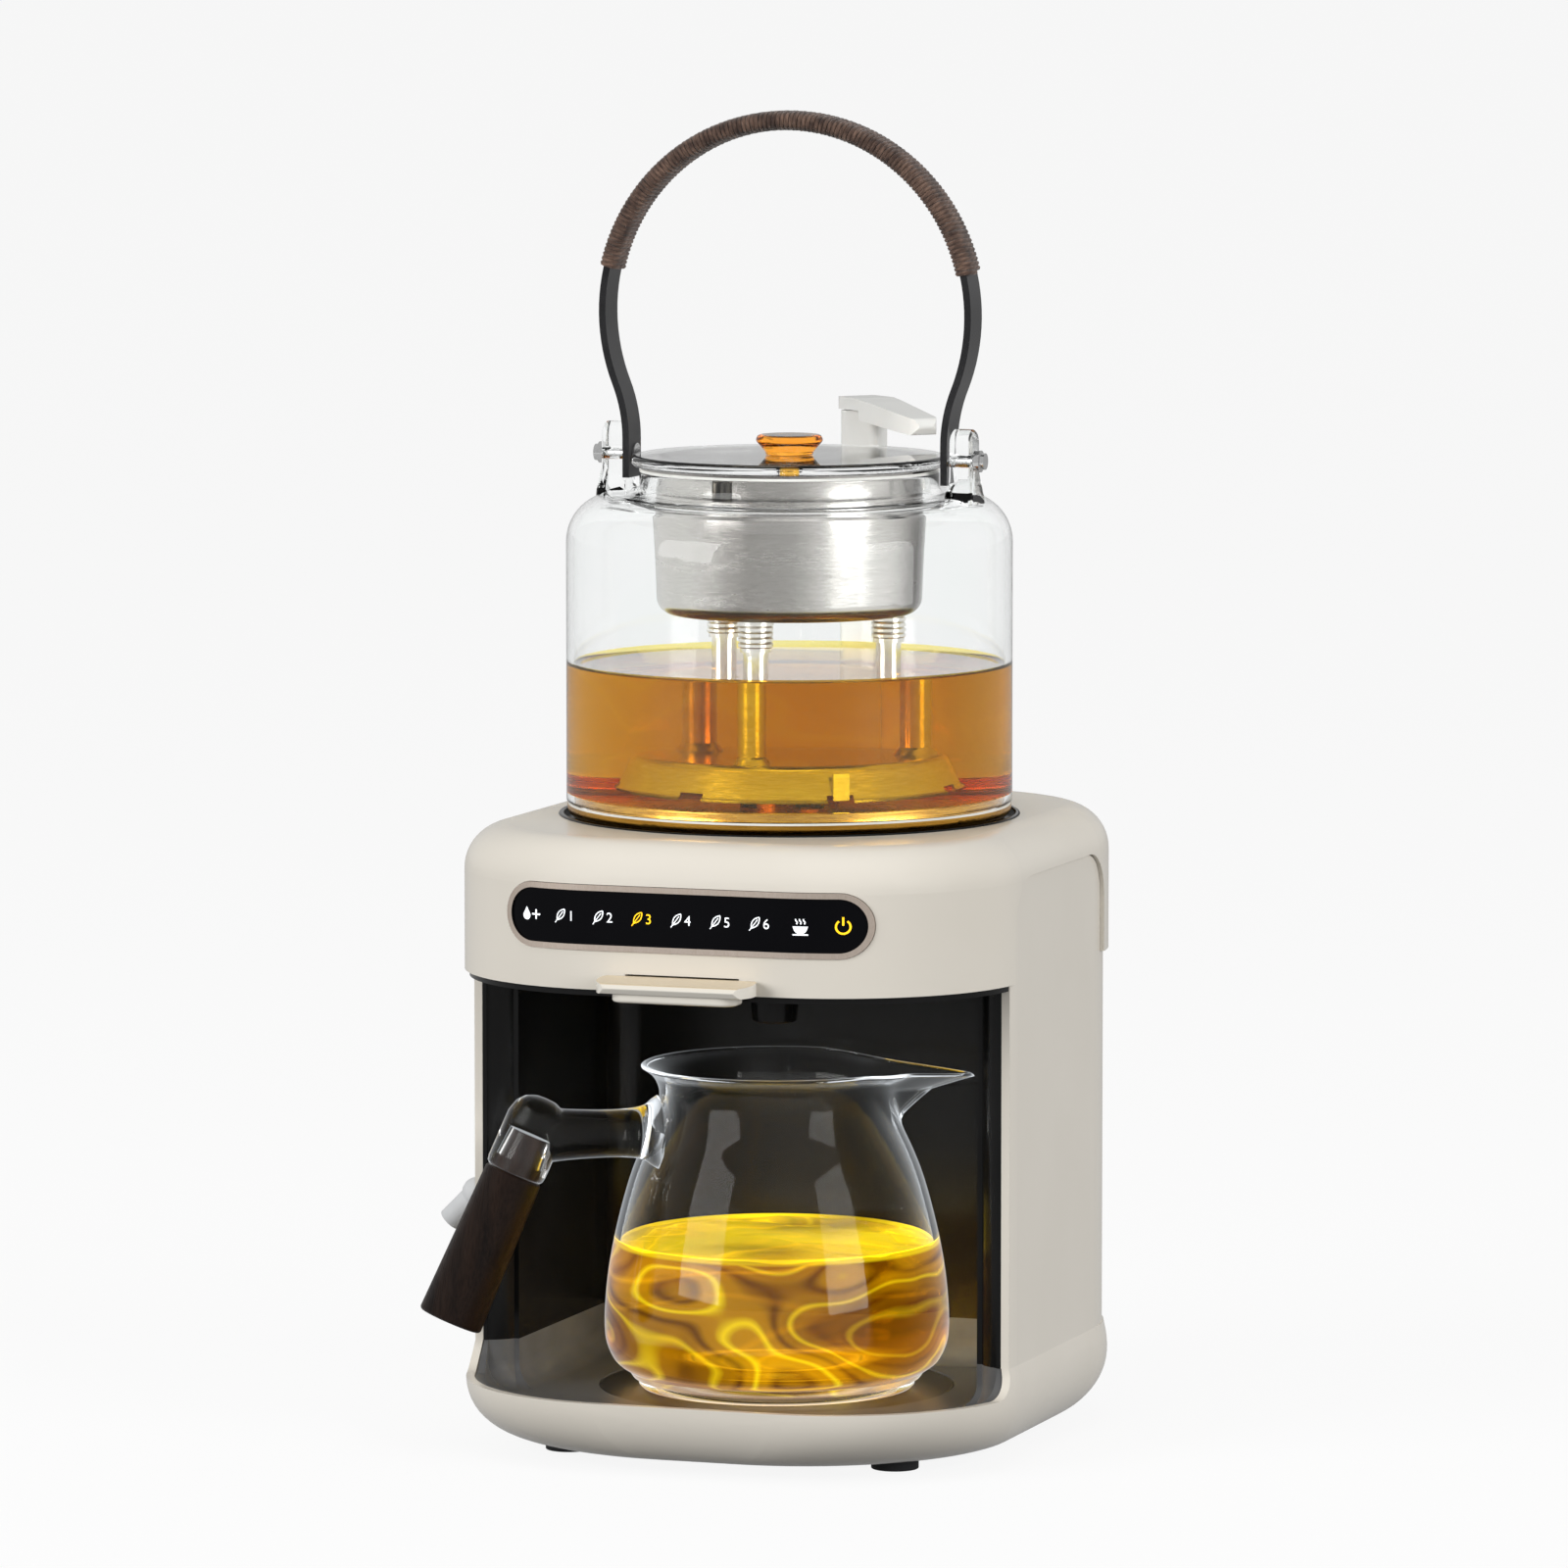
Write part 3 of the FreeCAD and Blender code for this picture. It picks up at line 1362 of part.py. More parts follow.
def jug_grip():
    """Turned wooden grip, glued into the socket by its peg."""
    _, _, top, end = grip_line()
    down = (end - top).normalize()
    grip = Part.makeCone(grip_top_radius, grip_end_radius, grip_length, top + down * 0.1, down)
    grip = grip.makeFillet(1.2, [e for e in grip.Edges if e.Closed])
    return jug_placed(grip.fuse(grip_peg(0.0)))


# ---------------------------------------------------------------- export

NODES = [
    base_shell, base_cover, rubber_feet, base_screws, bay_tray, warming_plate, warming_heater,
    column_shell, bay_liner, head_shell, head_ceiling, panel_bezel, panel_glass, panel_board,
    touch_springs, kettle_seat, kettle_heater, drain_funnel, drain_nozzle, push_rod,
    return_spring, drain_lever, lever_bar, lever_bracket, lever_pin, filler_post, filler_arm,
    water_inlet, water_pump, inlet_hose, filler_hose, power_board, power_inlet, kettle_glass,
    kettle_ears, kettle_gasket, kettle_base, valve_seat, valve_cage, valve_plunger, valve_seal,
    valve_spring, infuser_basket, basket_strainer, riser_tubes, riser_nuts, steam_dome,
    dome_skirt, neck_gasket, lid_glass, lid_knob, lid_screw, bail_strap, bail_wrap, bail_pins,
    jug_glass, jug_socket, jug_grip,
]


def main():
    """Write each node's solids to a STEP file of the node's name."""
    os.makedirs("parts", exist_ok=True)
    for make in NODES:
        name = make.__name__
        made = make()
        solids = [s for shape in (made if isinstance(made, list) else [made]) for s in shape.Solids]
        shape = solids[0] if len(solids) == 1 else Part.makeCompound(solids)
        shape.exportStep(os.path.join("parts", name + ".step"))
        print(name, len(solids), "solids", round(sum(s.Volume for s in solids)), "mm3",
              "valid" if all(s.isValid() for s in solids) else "INVALID")


main()
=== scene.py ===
"""Looks of the automatic tea maker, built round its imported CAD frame.

Sizes of pieces are written in millimetres and turned into metres by MM; the studio is in
metres. Every piece is built in place, in the frame's own axes: +Z up, the front faces -Y,
the feet stand on z = 0.
"""

from __future__ import annotations

import json
import logging
import math
from dataclasses import dataclass, field, replace
from enum import Enum
from typing import Callable, Mapping, Sequence, Union

import bmesh
import bpy
from mathutils import Matrix, Vector

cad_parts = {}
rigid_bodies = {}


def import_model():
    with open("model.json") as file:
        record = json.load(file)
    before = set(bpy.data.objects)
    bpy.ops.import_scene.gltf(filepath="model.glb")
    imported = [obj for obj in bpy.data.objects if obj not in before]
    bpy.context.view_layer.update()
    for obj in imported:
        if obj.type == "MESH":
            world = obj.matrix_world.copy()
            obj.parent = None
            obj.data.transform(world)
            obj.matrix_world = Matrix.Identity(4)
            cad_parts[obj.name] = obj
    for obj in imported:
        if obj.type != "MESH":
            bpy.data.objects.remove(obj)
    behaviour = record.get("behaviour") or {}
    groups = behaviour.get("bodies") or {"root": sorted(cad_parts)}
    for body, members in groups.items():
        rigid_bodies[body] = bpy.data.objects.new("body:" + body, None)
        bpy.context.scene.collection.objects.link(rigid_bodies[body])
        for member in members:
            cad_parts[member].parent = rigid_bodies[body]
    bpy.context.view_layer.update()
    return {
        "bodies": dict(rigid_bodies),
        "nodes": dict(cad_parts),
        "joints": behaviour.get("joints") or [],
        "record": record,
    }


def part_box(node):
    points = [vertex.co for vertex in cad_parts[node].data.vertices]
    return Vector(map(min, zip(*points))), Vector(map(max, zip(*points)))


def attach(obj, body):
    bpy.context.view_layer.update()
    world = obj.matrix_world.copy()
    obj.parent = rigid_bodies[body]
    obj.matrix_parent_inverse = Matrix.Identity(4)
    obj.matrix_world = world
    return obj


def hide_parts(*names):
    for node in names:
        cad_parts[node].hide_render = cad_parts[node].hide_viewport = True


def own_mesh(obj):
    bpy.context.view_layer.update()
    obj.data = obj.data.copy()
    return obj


LOG = logging.getLogger("tea_maker")
MM = 0.001

Colour = tuple[float, float, float]
Point = tuple[float, float]
Operand = Union[float, Sequence[float], bpy.types.NodeSocket, bpy.types.Material, "Term"]
Inputs = Mapping[Union[str, int], Operand]


class Body(str, Enum):
    """Bodies of the frame that the pieces ride on."""

    ROOT = "root"
    KETTLE = "kettle"
    BAIL = "bail"
    JUG = "jug"


class Slot(str, Enum):
    """Material slots of the record."""

    CREAM = "cream_shell"
    BLACK_GLOSS = "black_gloss"
    BASE_GREY = "base_grey"
    FOOT_RUBBER = "foot_rubber"
    SCREW_STEEL = "screw_steel"
    WARM_PLATE = "warm_plate"
    HEATER = "heater_metal"
    CHAMPAGNE = "champagne"
    PANEL = "panel_black"
    BOARD = "circuit_board"
    INLET = "inlet_grey"
    PUMP = "pump_black"
    HOSE = "hose_silicone"
    CLEAR_GLASS = "clear_glass"
    AMBER_GLASS = "amber_glass"
    GASKET = "gasket_silicone"
    KETTLE_STEEL = "kettle_steel"
    BRUSHED_STEEL = "brushed_steel"
    STRAP = "strap_black"
    CORD = "cord_wrap"
    WALNUT = "walnut"


# ---------------------------------------------------------------- node trees


class Term:
    """Output of a node that reckons with numbers and with other outputs of its graph."""

    def __init__(self, graph: NodeGraph, socket: bpy.types.NodeSocket) -> None:
        """Hold an output.

        Args:
            graph: Graph that the node is in.
            socket: The output.
        """
        self.graph = graph
        self.socket = socket

    def __add__(self, other: Operand) -> Term:
        """Sum."""
        return self.graph.calc("ADD", self, other)

    def __sub__(self, other: Operand) -> Term:
        """Difference."""
        return self.graph.calc("SUBTRACT", self, other)

    def __rsub__(self, other: Operand) -> Term:
        """Difference from a number."""
        return self.graph.calc("SUBTRACT", other, self)

    def __mul__(self, other: Operand) -> Term:
        """Product."""
        return self.graph.calc("MULTIPLY", self, other)


class NodeGraph:
    """A node tree that is filled by short calls."""

    def __init__(self, tree: bpy.types.NodeTree) -> None:
        """Keep the tree that the nodes go in.

        Args:
            tree: Shader or geometry node tree.
        """
        self.tree = tree

    def add(self, kind: str, inputs: Inputs | None = None, **settings: object) -> bpy.types.Node:
        """Add a node and fill its inputs.

        Args:
            kind: Type name of the node.
            inputs: Values, sockets or terms by input name or number.
            **settings: Attributes of the node, set before its inputs.

        Returns:
            The new node.
        """
        node = self.tree.nodes.new(kind)
        for name, value in settings.items():
            setattr(node, name, value)
        for key, value in (inputs or {}).items():
            source = value.socket if isinstance(value, Term) else value
            if isinstance(source, bpy.types.NodeSocket):
                self.tree.links.new(source, node.inputs[key])
            else:
                node.inputs[key].default_value = source
        return node

    def outputs(self, kind: str, inputs: Inputs | None = None,
                **settings: object) -> dict[str, Term]:
        """Add a node and return its outputs by name."""
        node = self.add(kind, inputs, **settings)
        return {socket.name: Term(self, socket) for socket in node.outputs}

    def value(self, kind: str, inputs: Inputs | None = None, index: int = 0,
              **settings: object) -> Term:
        """Add a node and return one of its outputs, the first unless another is asked for."""
        return Term(self, self.add(kind, inputs, **settings).outputs[index])

    def calc(self, operation: str, *values: Operand) -> Term:
        """Result of a Math node on the values."""
        return self.value("ShaderNodeMath", dict(enumerate(values)), operation=operation)

    def blend(self, mask: Operand, first: Colour | Term, second: Colour | Term) -> Term:
        """Colour between two colours by a mask."""
        ends = [end if isinstance(end, Term) else (*end, 1.0) for end in (first, second)]
        return self.value("ShaderNodeMix", {0: mask, 6: ends[0], 7: ends[1]}, 2, data_type="RGBA")

    def noise(self, place: Operand, scale: Operand, detail: float = 2.0) -> Term:
        """Value of a Noise Texture."""
        return self.value("ShaderNodeTexNoise", {"Vector": place, "Scale": scale, "Detail": detail})

    def spread(self, value: Operand, low: float, high: float) -> Term:
        """Stretch the values from low to high over the range 0 to 1."""
        return self.value("ShaderNodeMapRange", {0: value, 1: low, 2: high})

    def stretched(self, place: Operand, factors: Sequence[float]) -> Term:
        """Place times a factor on each axis."""
        return self.value("ShaderNodeVectorMath", {0: place, 1: factors}, operation="MULTIPLY")

    def combined(self, x: Operand, y: Operand, z: Operand) -> Term:
        """Place of its three coordinates."""
        return self.value("ShaderNodeCombineXYZ", {0: x, 1: y, 2: z})

    def bump(self, height: Operand, strength: float, distance: float) -> Term:
        """Normal of a Bump node, its distance in millimetres."""
        return self.value("ShaderNodeBump", {"Height": height, "Strength": strength,
                                             "Distance": distance * MM})

    def object_place(self) -> Term:
        """Object coordinates."""
        return self.outputs("ShaderNodeTexCoord")["Object"]


@dataclass(frozen=True)
class Effect:
    """Shader node group of numbers that vary over a surface, built on its first use."""

    name: str
    takes: Sequence[str]
    gives: Sequence[str]
    fill: Callable[[NodeGraph, Mapping[str, Term]], Inputs]

    def tree(self) -> bpy.types.NodeTree:
        """Node tree of the group.

        Returns:
            The tree: its input called Vector is a vector, all others are numbers.
        """
        tree = bpy.data.node_groups.get(self.name)
        if tree is None:
            tree = bpy.data.node_groups.new(self.name, "ShaderNodeTree")
            for way, labels in (("INPUT", self.takes), ("OUTPUT", self.gives)):
                for label in labels:
                    kind = "Vector" if label == "Vector" else "Float"
                    tree.interface.new_socket(label, in_out=way,
                                              socket_type="NodeSocket" + kind)
            graph = NodeGraph(tree)
            graph.add("NodeGroupOutput", self.fill(graph, graph.outputs("NodeGroupInput")))
        return tree

    def use(self, graph: NodeGraph, *values: Operand) -> dict[str, Term]:
        """Put the group in a graph.

        Args:
            graph: Graph of a material.
            *values: Values for what the group takes, in its order.

        Returns:
            What the group gives, by name.
        """
        return graph.outputs("ShaderNodeGroup", dict(zip(self.takes, values)),
                             node_tree=self.tree())


def polish_nodes(graph: NodeGraph, given: Mapping[str, Term]) -> Inputs:
    """Uneven polish of plastic, rubber, lacquer and glass.

    Args:
        graph: Graph of the group.
        given: What the group takes.

    Returns:
        Broad changes of roughness and their mask, and a fine orange peel.
    """
    broad = graph.noise(given["Vector"], given["Scale"], 3.0)
    return {"Roughness": given["Roughness"] + (broad - 0.5) * given["Spread"],
            "Mask": graph.spread(broad, 0.3, 0.7),
            "Height": graph.noise(given["Vector"], given["Scale"] * 24.0, 1.0)}


def line_nodes(graph: NodeGraph, given: Mapping[str, Term]) -> Inputs:
    """Fine lines of turned or drawn metal, long round the axis where the swirl is small.

    Args:
        graph: Graph of the group.
        given: What the group takes.

    Returns:
        Roughness, mask and height of the lines.
    """
    place = graph.outputs("ShaderNodeSeparateXYZ", {0: given["Vector"]})
    across = graph.calc("SQRT", place["X"] * place["X"] + place["Y"] * place["Y"])
    around = graph.calc("ARCTAN2", place["Y"], place["X"]) * given["Swirl"]
    turned = graph.combined(around, across, place["Z"])
    fine = graph.noise(turned, given["Scale"])
    broad = graph.noise(turned, given["Scale"] * 0.06)
    mask = graph.spread(fine * 0.65 + broad * 0.35, 0.34, 0.66)
    return {"Roughness": given["Roughness"] + (mask - 0.5) * given["Spread"], "Mask": mask,
            "Height": fine}


def streak_nodes(graph: NodeGraph, given: Mapping[str, Term]) -> Inputs:
    """Painted reflection: broad soft bands down a turned wall, four round it, which stand in for
    reflections.

    Args:
        graph: Graph of the group.
        given: What the group takes.

    Returns:
        Mask of the painted reflection bands.
    """
    place = graph.outputs("ShaderNodeSeparateXYZ", {0: given["Vector"]})
    around = graph.calc("ARCTAN2", place["Y"], place["X"]) + given["Turn"]
    wave = graph.calc("SINE", around * 4.0) * 0.5 + 0.5
    other = graph.calc("SINE", around * 7.0) * 0.2 + 0.8
    return {"Mask": graph.calc("POWER", wave, 1.6) * other * given["Strength"]}


def grain_nodes(graph: NodeGraph, given: Mapping[str, Term]) -> Inputs:
    """Wood grain: long pores over slow bands, along the third axis.

    Args:
        graph: Graph of the group.
        given: What the group takes.

    Returns:
        Mask of the grain and height of its pores.
    """
    long_way = graph.stretched(given["Vector"], (1.0, 1.0, 0.07))
    pores = graph.noise(long_way, given["Scale"] * 9.0)
    mask = graph.noise(long_way, given["Scale"], 4.0) * 0.65 + pores * 0.35
    return {"Mask": graph.spread(mask, 0.36, 0.62), "Height": graph.spread(pores, 0.35, 0.55)}


UNEVEN_POLISH = Effect("uneven_polish", ("Vector", "Scale", "Roughness", "Spread"),
                       ("Roughness", "Mask", "Height"), polish_nodes)
METAL_LINES = Effect("metal_lines", ("Vector", "Scale", "Swirl", "Roughness", "Spread"),
                     ("Roughness", "Mask", "Height"), line_nodes)
PAINTED_REFLECTION = Effect("down_streaks", ("Vector", "Turn", "Strength"), ("Mask",), streak_nodes)
WOOD_GRAIN = Effect("wood_grain", ("Vector", "Scale"), ("Mask", "Height"), grain_nodes)


# ---------------------------------------------------------------- finishes


@dataclass(frozen=True)
class Finish:
    """What every finish has: a name and two close colours that the surface varies between."""

    name: str
    colour: Colour
    second: Colour

    def make(self) -> bpy.types.Material:
        """Build the material.

        Returns:
            The material: a Principled BSDF, and what fills the piece.
        """
        material = bpy.data.materials.new(self.name)
        material.use_nodes = True
        material.node_tree.nodes.clear()
        graph = NodeGraph(material.node_tree)
        shader = graph.value("ShaderNodeBsdfPrincipled", self.surface_of(graph))
        graph.add("ShaderNodeOutputMaterial", {"Surface": shader, **self.inside(graph)})
        return material

    def surface_of(self, graph: NodeGraph) -> Inputs:
        """Inputs of the Principled BSDF, which each kind of finish has its own way to make."""
        raise NotImplementedError(self.name)

    def inside(self, graph: NodeGraph) -> Inputs:
        """What fills the piece: nothing, unless the finish says more."""
        return {}


@dataclass(frozen=True)
class Plastic(Finish):
    """Moulded plastic, rubber or lacquer, its polish slightly uneven."""

    roughness: float = 0.2
    spread: float = 0.06
    peel: float = 0.05
    scale: float = 40.0
    coat: float = 0.0
    metallic: float = 0.0
    specular: float = 0.3

    def surface_of(self, graph: NodeGraph) -> Inputs:
        """Uneven polish, under a coat where there is one."""
        polish = UNEVEN_POLISH.use(graph, graph.object_place(), self.scale, self.roughness,
                                   self.spread)
        return {"Base Color": graph.blend(polish["Mask"], self.colour, self.second),
                "Roughness": polish["Roughness"],
                "Normal": graph.bump(polish["Height"], self.peel, 0.1),
                "Coat Weight": self.coat, "Coat Roughness": 0.04, "Metallic": self.metallic,
                "Specular IOR Level": self.specular}


@dataclass(frozen=True)
class TwoFace(Finish):
    """Lacquer of one colour with painted shade: faces that look up take the first, darker colour,
    the rest the second.
    """

    roughness: float = 0.22
    spread: float = 0.06
    scale: float = 60.0

    def surface_of(self, graph: NodeGraph) -> Inputs:
        """Uneven polish, and painted shade: the colour is darker on faces that look up.

        Args:
            graph: Graph of the material.

        Returns:
            Inputs of the Principled BSDF.
        """
        polish = UNEVEN_POLISH.use(graph, graph.object_place(), self.scale, self.roughness,
                                   self.spread)
        normal = graph.outputs("ShaderNodeNewGeometry")["Normal"]
        up = graph.outputs("ShaderNodeSeparateXYZ", {0: normal})["Z"]
        # painted shade: faces that look up take the darker colour
        down = 1.0 - graph.spread(up, 0.55, 0.85)
        return {"Base Color": graph.blend(down, self.colour, self.second),
                "Roughness": polish["Roughness"], "Coat Weight": 0.4, "Coat Roughness": 0.06,
                "Normal": graph.bump(polish["Height"], 0.03, 0.1)}


@dataclass(frozen=True)
class Metal(Finish):
    """Turned or drawn metal with fine lines round the upright axis and, where it has them, broad
    painted reflection bands down it.
    """

    roughness: float = 0.25
    spread: float = 0.12
    scale: float = 2600.0
    swirl: float = 0.004
    relief: float = 0.05
    # painted reflection: strength, turn and colour of the bands down the wall
    streaks: float = 0.0
    streak_turn: float = 0.0
    streak_colour: Colour = (0.1, 0.09, 0.08)

    def surface_of(self, graph: NodeGraph) -> Inputs:
        """Lines, and painted reflection bands where there are any.

        Args:
            graph: Graph of the material.

        Returns:
            Inputs of the Principled BSDF.
        """
        place = graph.object_place()
        lines = METAL_LINES.use(graph, place, self.scale, self.swirl, self.roughness, self.spread)
        colour = graph.blend(lines["Mask"], self.colour, self.second)
        # painted reflection: bands of a second colour down the wall
        if self.streaks:
            streaks = PAINTED_REFLECTION.use(graph, place, self.streak_turn, self.streaks)
            colour = graph.blend(streaks["Mask"], colour, self.streak_colour)
        return {"Base Color": colour, "Roughness": lines["Roughness"], "Metallic": 1.0,
                "Normal": graph.bump(lines["Height"], self.relief, 0.03)}


@dataclass(frozen=True)
class Clear(Finish):
    """Base of glass and tea: they colour the light by the way that it takes through them."""

    depth_colour: Colour | None = None
    density: float = 0.0

    def inside(self, graph: NodeGraph) -> Inputs:
        """What takes up light inside the piece."""
        if self.depth_colour is None:
            return {}
        return {"Volume": graph.value("ShaderNodeVolumeAbsorption", {
            "Color": (*self.depth_colour, 1.0), "Density": self.density})}


@dataclass(frozen=True)
class Glass(Clear):
    """Blown glass with a faint ripple, and where it has one a painted highlight glowing at its
    edges.
    """

    ior: float = 1.3
    # strength of the painted highlight, a glow at grazing edges
    edge: float = 0.0
    edge_colour: Colour = (0.9, 0.95, 1.0)
    ripple: float = 0.03
    scale: float = 38.0
    roughness: float = 0.004
    spread: float = 0.006

    def surface_of(self, graph: NodeGraph) -> Inputs:
        """Ripple, and the painted edge highlight where there is one.

        Args:
            graph: Graph of the material.

        Returns:
            Inputs of the Principled BSDF.
        """
        polish = UNEVEN_POLISH.use(graph, graph.object_place(), self.scale, self.roughness,
                                   self.spread)
        inputs = {"Base Color": graph.blend(polish["Mask"], self.colour, self.second),
                  "Roughness": polish["Roughness"], "IOR": self.ior, "Transmission Weight": 1.0,
                  "Normal": graph.bump(polish["Mask"], self.ripple, 0.6)}
        # painted highlight: the edges glow at grazing angles
        if self.edge:
            facing = graph.outputs("ShaderNodeLayerWeight", {"Blend": 0.5})["Facing"]
            painted_edge_highlight = graph.blend(graph.calc("POWER", facing, 5.0), (0.0, 0.0, 0.0),
                                self.edge_colour)
            inputs.update({"Emission Color": painted_edge_highlight, "Emission Strength": self.edge})
        return inputs


@dataclass(frozen=True)
class Tea(Clear):
    """Clear amber tea: its colour deepens with depth, and it glows with painted light, soft loops
    of painted caustics.
    """

    depth_colour: Colour | None = (0.9, 0.77, 0.01)
    density: float = 45.0
    ior: float = 1.25
    # painted light: size of its loops, strength of its glow, and the span under the surface where
    # the painted highlight line lies
    loops: float = 22.0
    glow: float = 0.3
    surface: float = 1.0
    brim: Point = (1.2, 0.4)
    # colours of the painted glow, from the painted shade between the loops to the painted highlight
    dark: Colour = (0.05, 0.012, 0.0)
    middle: Colour = (0.5, 0.24, 0.0)
    bright: Colour = (1.0, 0.74, 0.006)

    def surface_of(self, graph: NodeGraph) -> Inputs:
        """Painted light: glowing loops with painted shade between them and a painted highlight line
        at the surface.

        Args:
            graph: Graph of the material.

        Returns:
            Inputs of the Principled BSDF.
        """
        place = graph.object_place()
        cloud = graph.noise(graph.stretched(place, (1.0, 1.0, 1.7)), self.loops, 0.6)
        ring = graph.calc("ABSOLUTE", graph.calc("FRACT", cloud * 7.0) - 0.5)
        height = graph.outputs("ShaderNodeSeparateXYZ", {0: place})["Z"]
        # painted highlight line just under the surface
        painted_brim_line = graph.spread(height, *(self.surface - mm * MM for mm in self.brim))
        line = graph.calc("MAXIMUM", 1.0 - graph.spread(ring, 0.0, 0.13), painted_brim_line)
        body = graph.spread(cloud, 0.36, 0.66)
        # painted shade between the loops
        painted_loop_shade = 1.0 - graph.spread(ring, 0.3, 0.48) * 0.85
        fill = graph.blend(body * painted_loop_shade, self.dark, self.middle)
        # painted highlight lines over the painted glow
        bright = graph.blend(line * (body * 0.7 + 0.3), fill, self.bright)
        path = graph.outputs("ShaderNodeLightPath")
        direct = graph.calc("MAXIMUM", path["Is Camera Ray"], path["Is Transmission Ray"])
        # the painted glow reaches only camera rays and rays through glass; the tint follows the
        # painted loops too
        return {"Base Color": graph.blend(body, self.colour, self.second), "Roughness": 0.0,
                "IOR": self.ior, "Transmission Weight": 1.0,
                "Emission Color": graph.blend(direct, (0.0, 0.0, 0.0), bright),
                "Emission Strength": self.glow}


@dataclass(frozen=True)
class Wood(Finish):
    """Oiled wood, its grain along a leaning grip."""

    roughness: float = 0.54
    scale: float = 210.0
    lean: tuple[float, float, float] = (0.0, 0.0, 0.0)

    def surface_of(self, graph: NodeGraph) -> Inputs:
        """Grain, smoother where it stands up.

        Args:
            graph: Graph of the material.

        Returns:
            Inputs of the Principled BSDF.
        """
        turned = graph.value("ShaderNodeMapping", {"Vector": graph.object_place(),
                                                   "Rotation": self.lean})
        grain = WOOD_GRAIN.use(graph, turned, self.scale)
        return {"Base Color": graph.blend(grain["Mask"], self.colour, self.second),
                "Roughness": self.roughness - grain["Height"] * 0.16,
                "Normal": graph.bump(grain["Height"], 0.35, 0.12), "Specular IOR Level": 0.2}


@dataclass(frozen=True)
class Cord(Finish):
    """Waxed cord laid of strands: the twist follows the cord by its own attributes."""

    along: str = "cord_along"
    around: str = "cord_around"
    lay: float = 3.6
    strands: float = 3.0

    def surface_of(self, graph: NodeGraph) -> Inputs:
        """Strands in relief, worn in places, lighter on their crowns and darker in the gaps:
        painted highlight and painted shade.

        Args:
            graph: Graph of the material.

        Returns:
            Inputs of the Principled BSDF.
        """
        run = graph.outputs("ShaderNodeAttribute", attribute_name=self.along)["Fac"]
        turn = graph.outputs("ShaderNodeAttribute", attribute_name=self.around)["Fac"]
        phase = run * (math.pi / (self.lay * MM)) + turn * (self.strands * math.pi)
        strand = graph.calc("ABSOLUTE", graph.calc("SINE", phase))
        worn = graph.noise(graph.object_place(), 260.0, 3.0)
        # colour: wear at random, times painted highlight on the strands' crowns and painted shade
        # in the gaps between them
        mask = graph.spread(worn, 0.3, 0.72) * (strand * 0.6 + 0.4)
        return {"Base Color": graph.blend(mask, self.colour, self.second),
                "Roughness": 0.62 - mask * 0.2, "Normal": graph.bump(strand, 0.6, 0.2),
                "Sheen Weight": 0.25}


@dataclass(frozen=True)
class LitMark(Finish):
    """Lit print on the panel, its light slightly uneven."""

    strength: float = 1.0

    def surface_of(self, graph: NodeGraph) -> Inputs:
        """The same uneven colour as paint and as light.

        Args:
            graph: Graph of the material.

        Returns:
            Inputs of the Principled BSDF.
        """
        uneven = graph.spread(graph.noise(graph.object_place(), 500.0), 0.3, 0.7)
        colour = graph.blend(uneven, self.second, self.colour)
        return {"Base Color": colour, "Roughness": 0.4, "Emission Color": colour,
                "Emission Strength": self.strength}


@dataclass(frozen=True)
class Board(Finish):
    """Solder mask with copper runs under it."""

    def surface_of(self, graph: NodeGraph) -> Inputs:
        """Runs in relief."""
        runs = graph.value("ShaderNodeTexBrick", {
            "Vector": graph.object_place(), "Scale": 160.0, "Mortar Size": 0.05,
            "Color1": (0, 0, 0, 1), "Color2": (0, 0, 0, 1), "Mortar": (1, 1, 1, 1)})
        return {"Base Color": graph.blend(runs, self.colour, self.second), "Roughness": 0.35,
                "Normal": graph.bump(runs, 0.3, 0.05)}


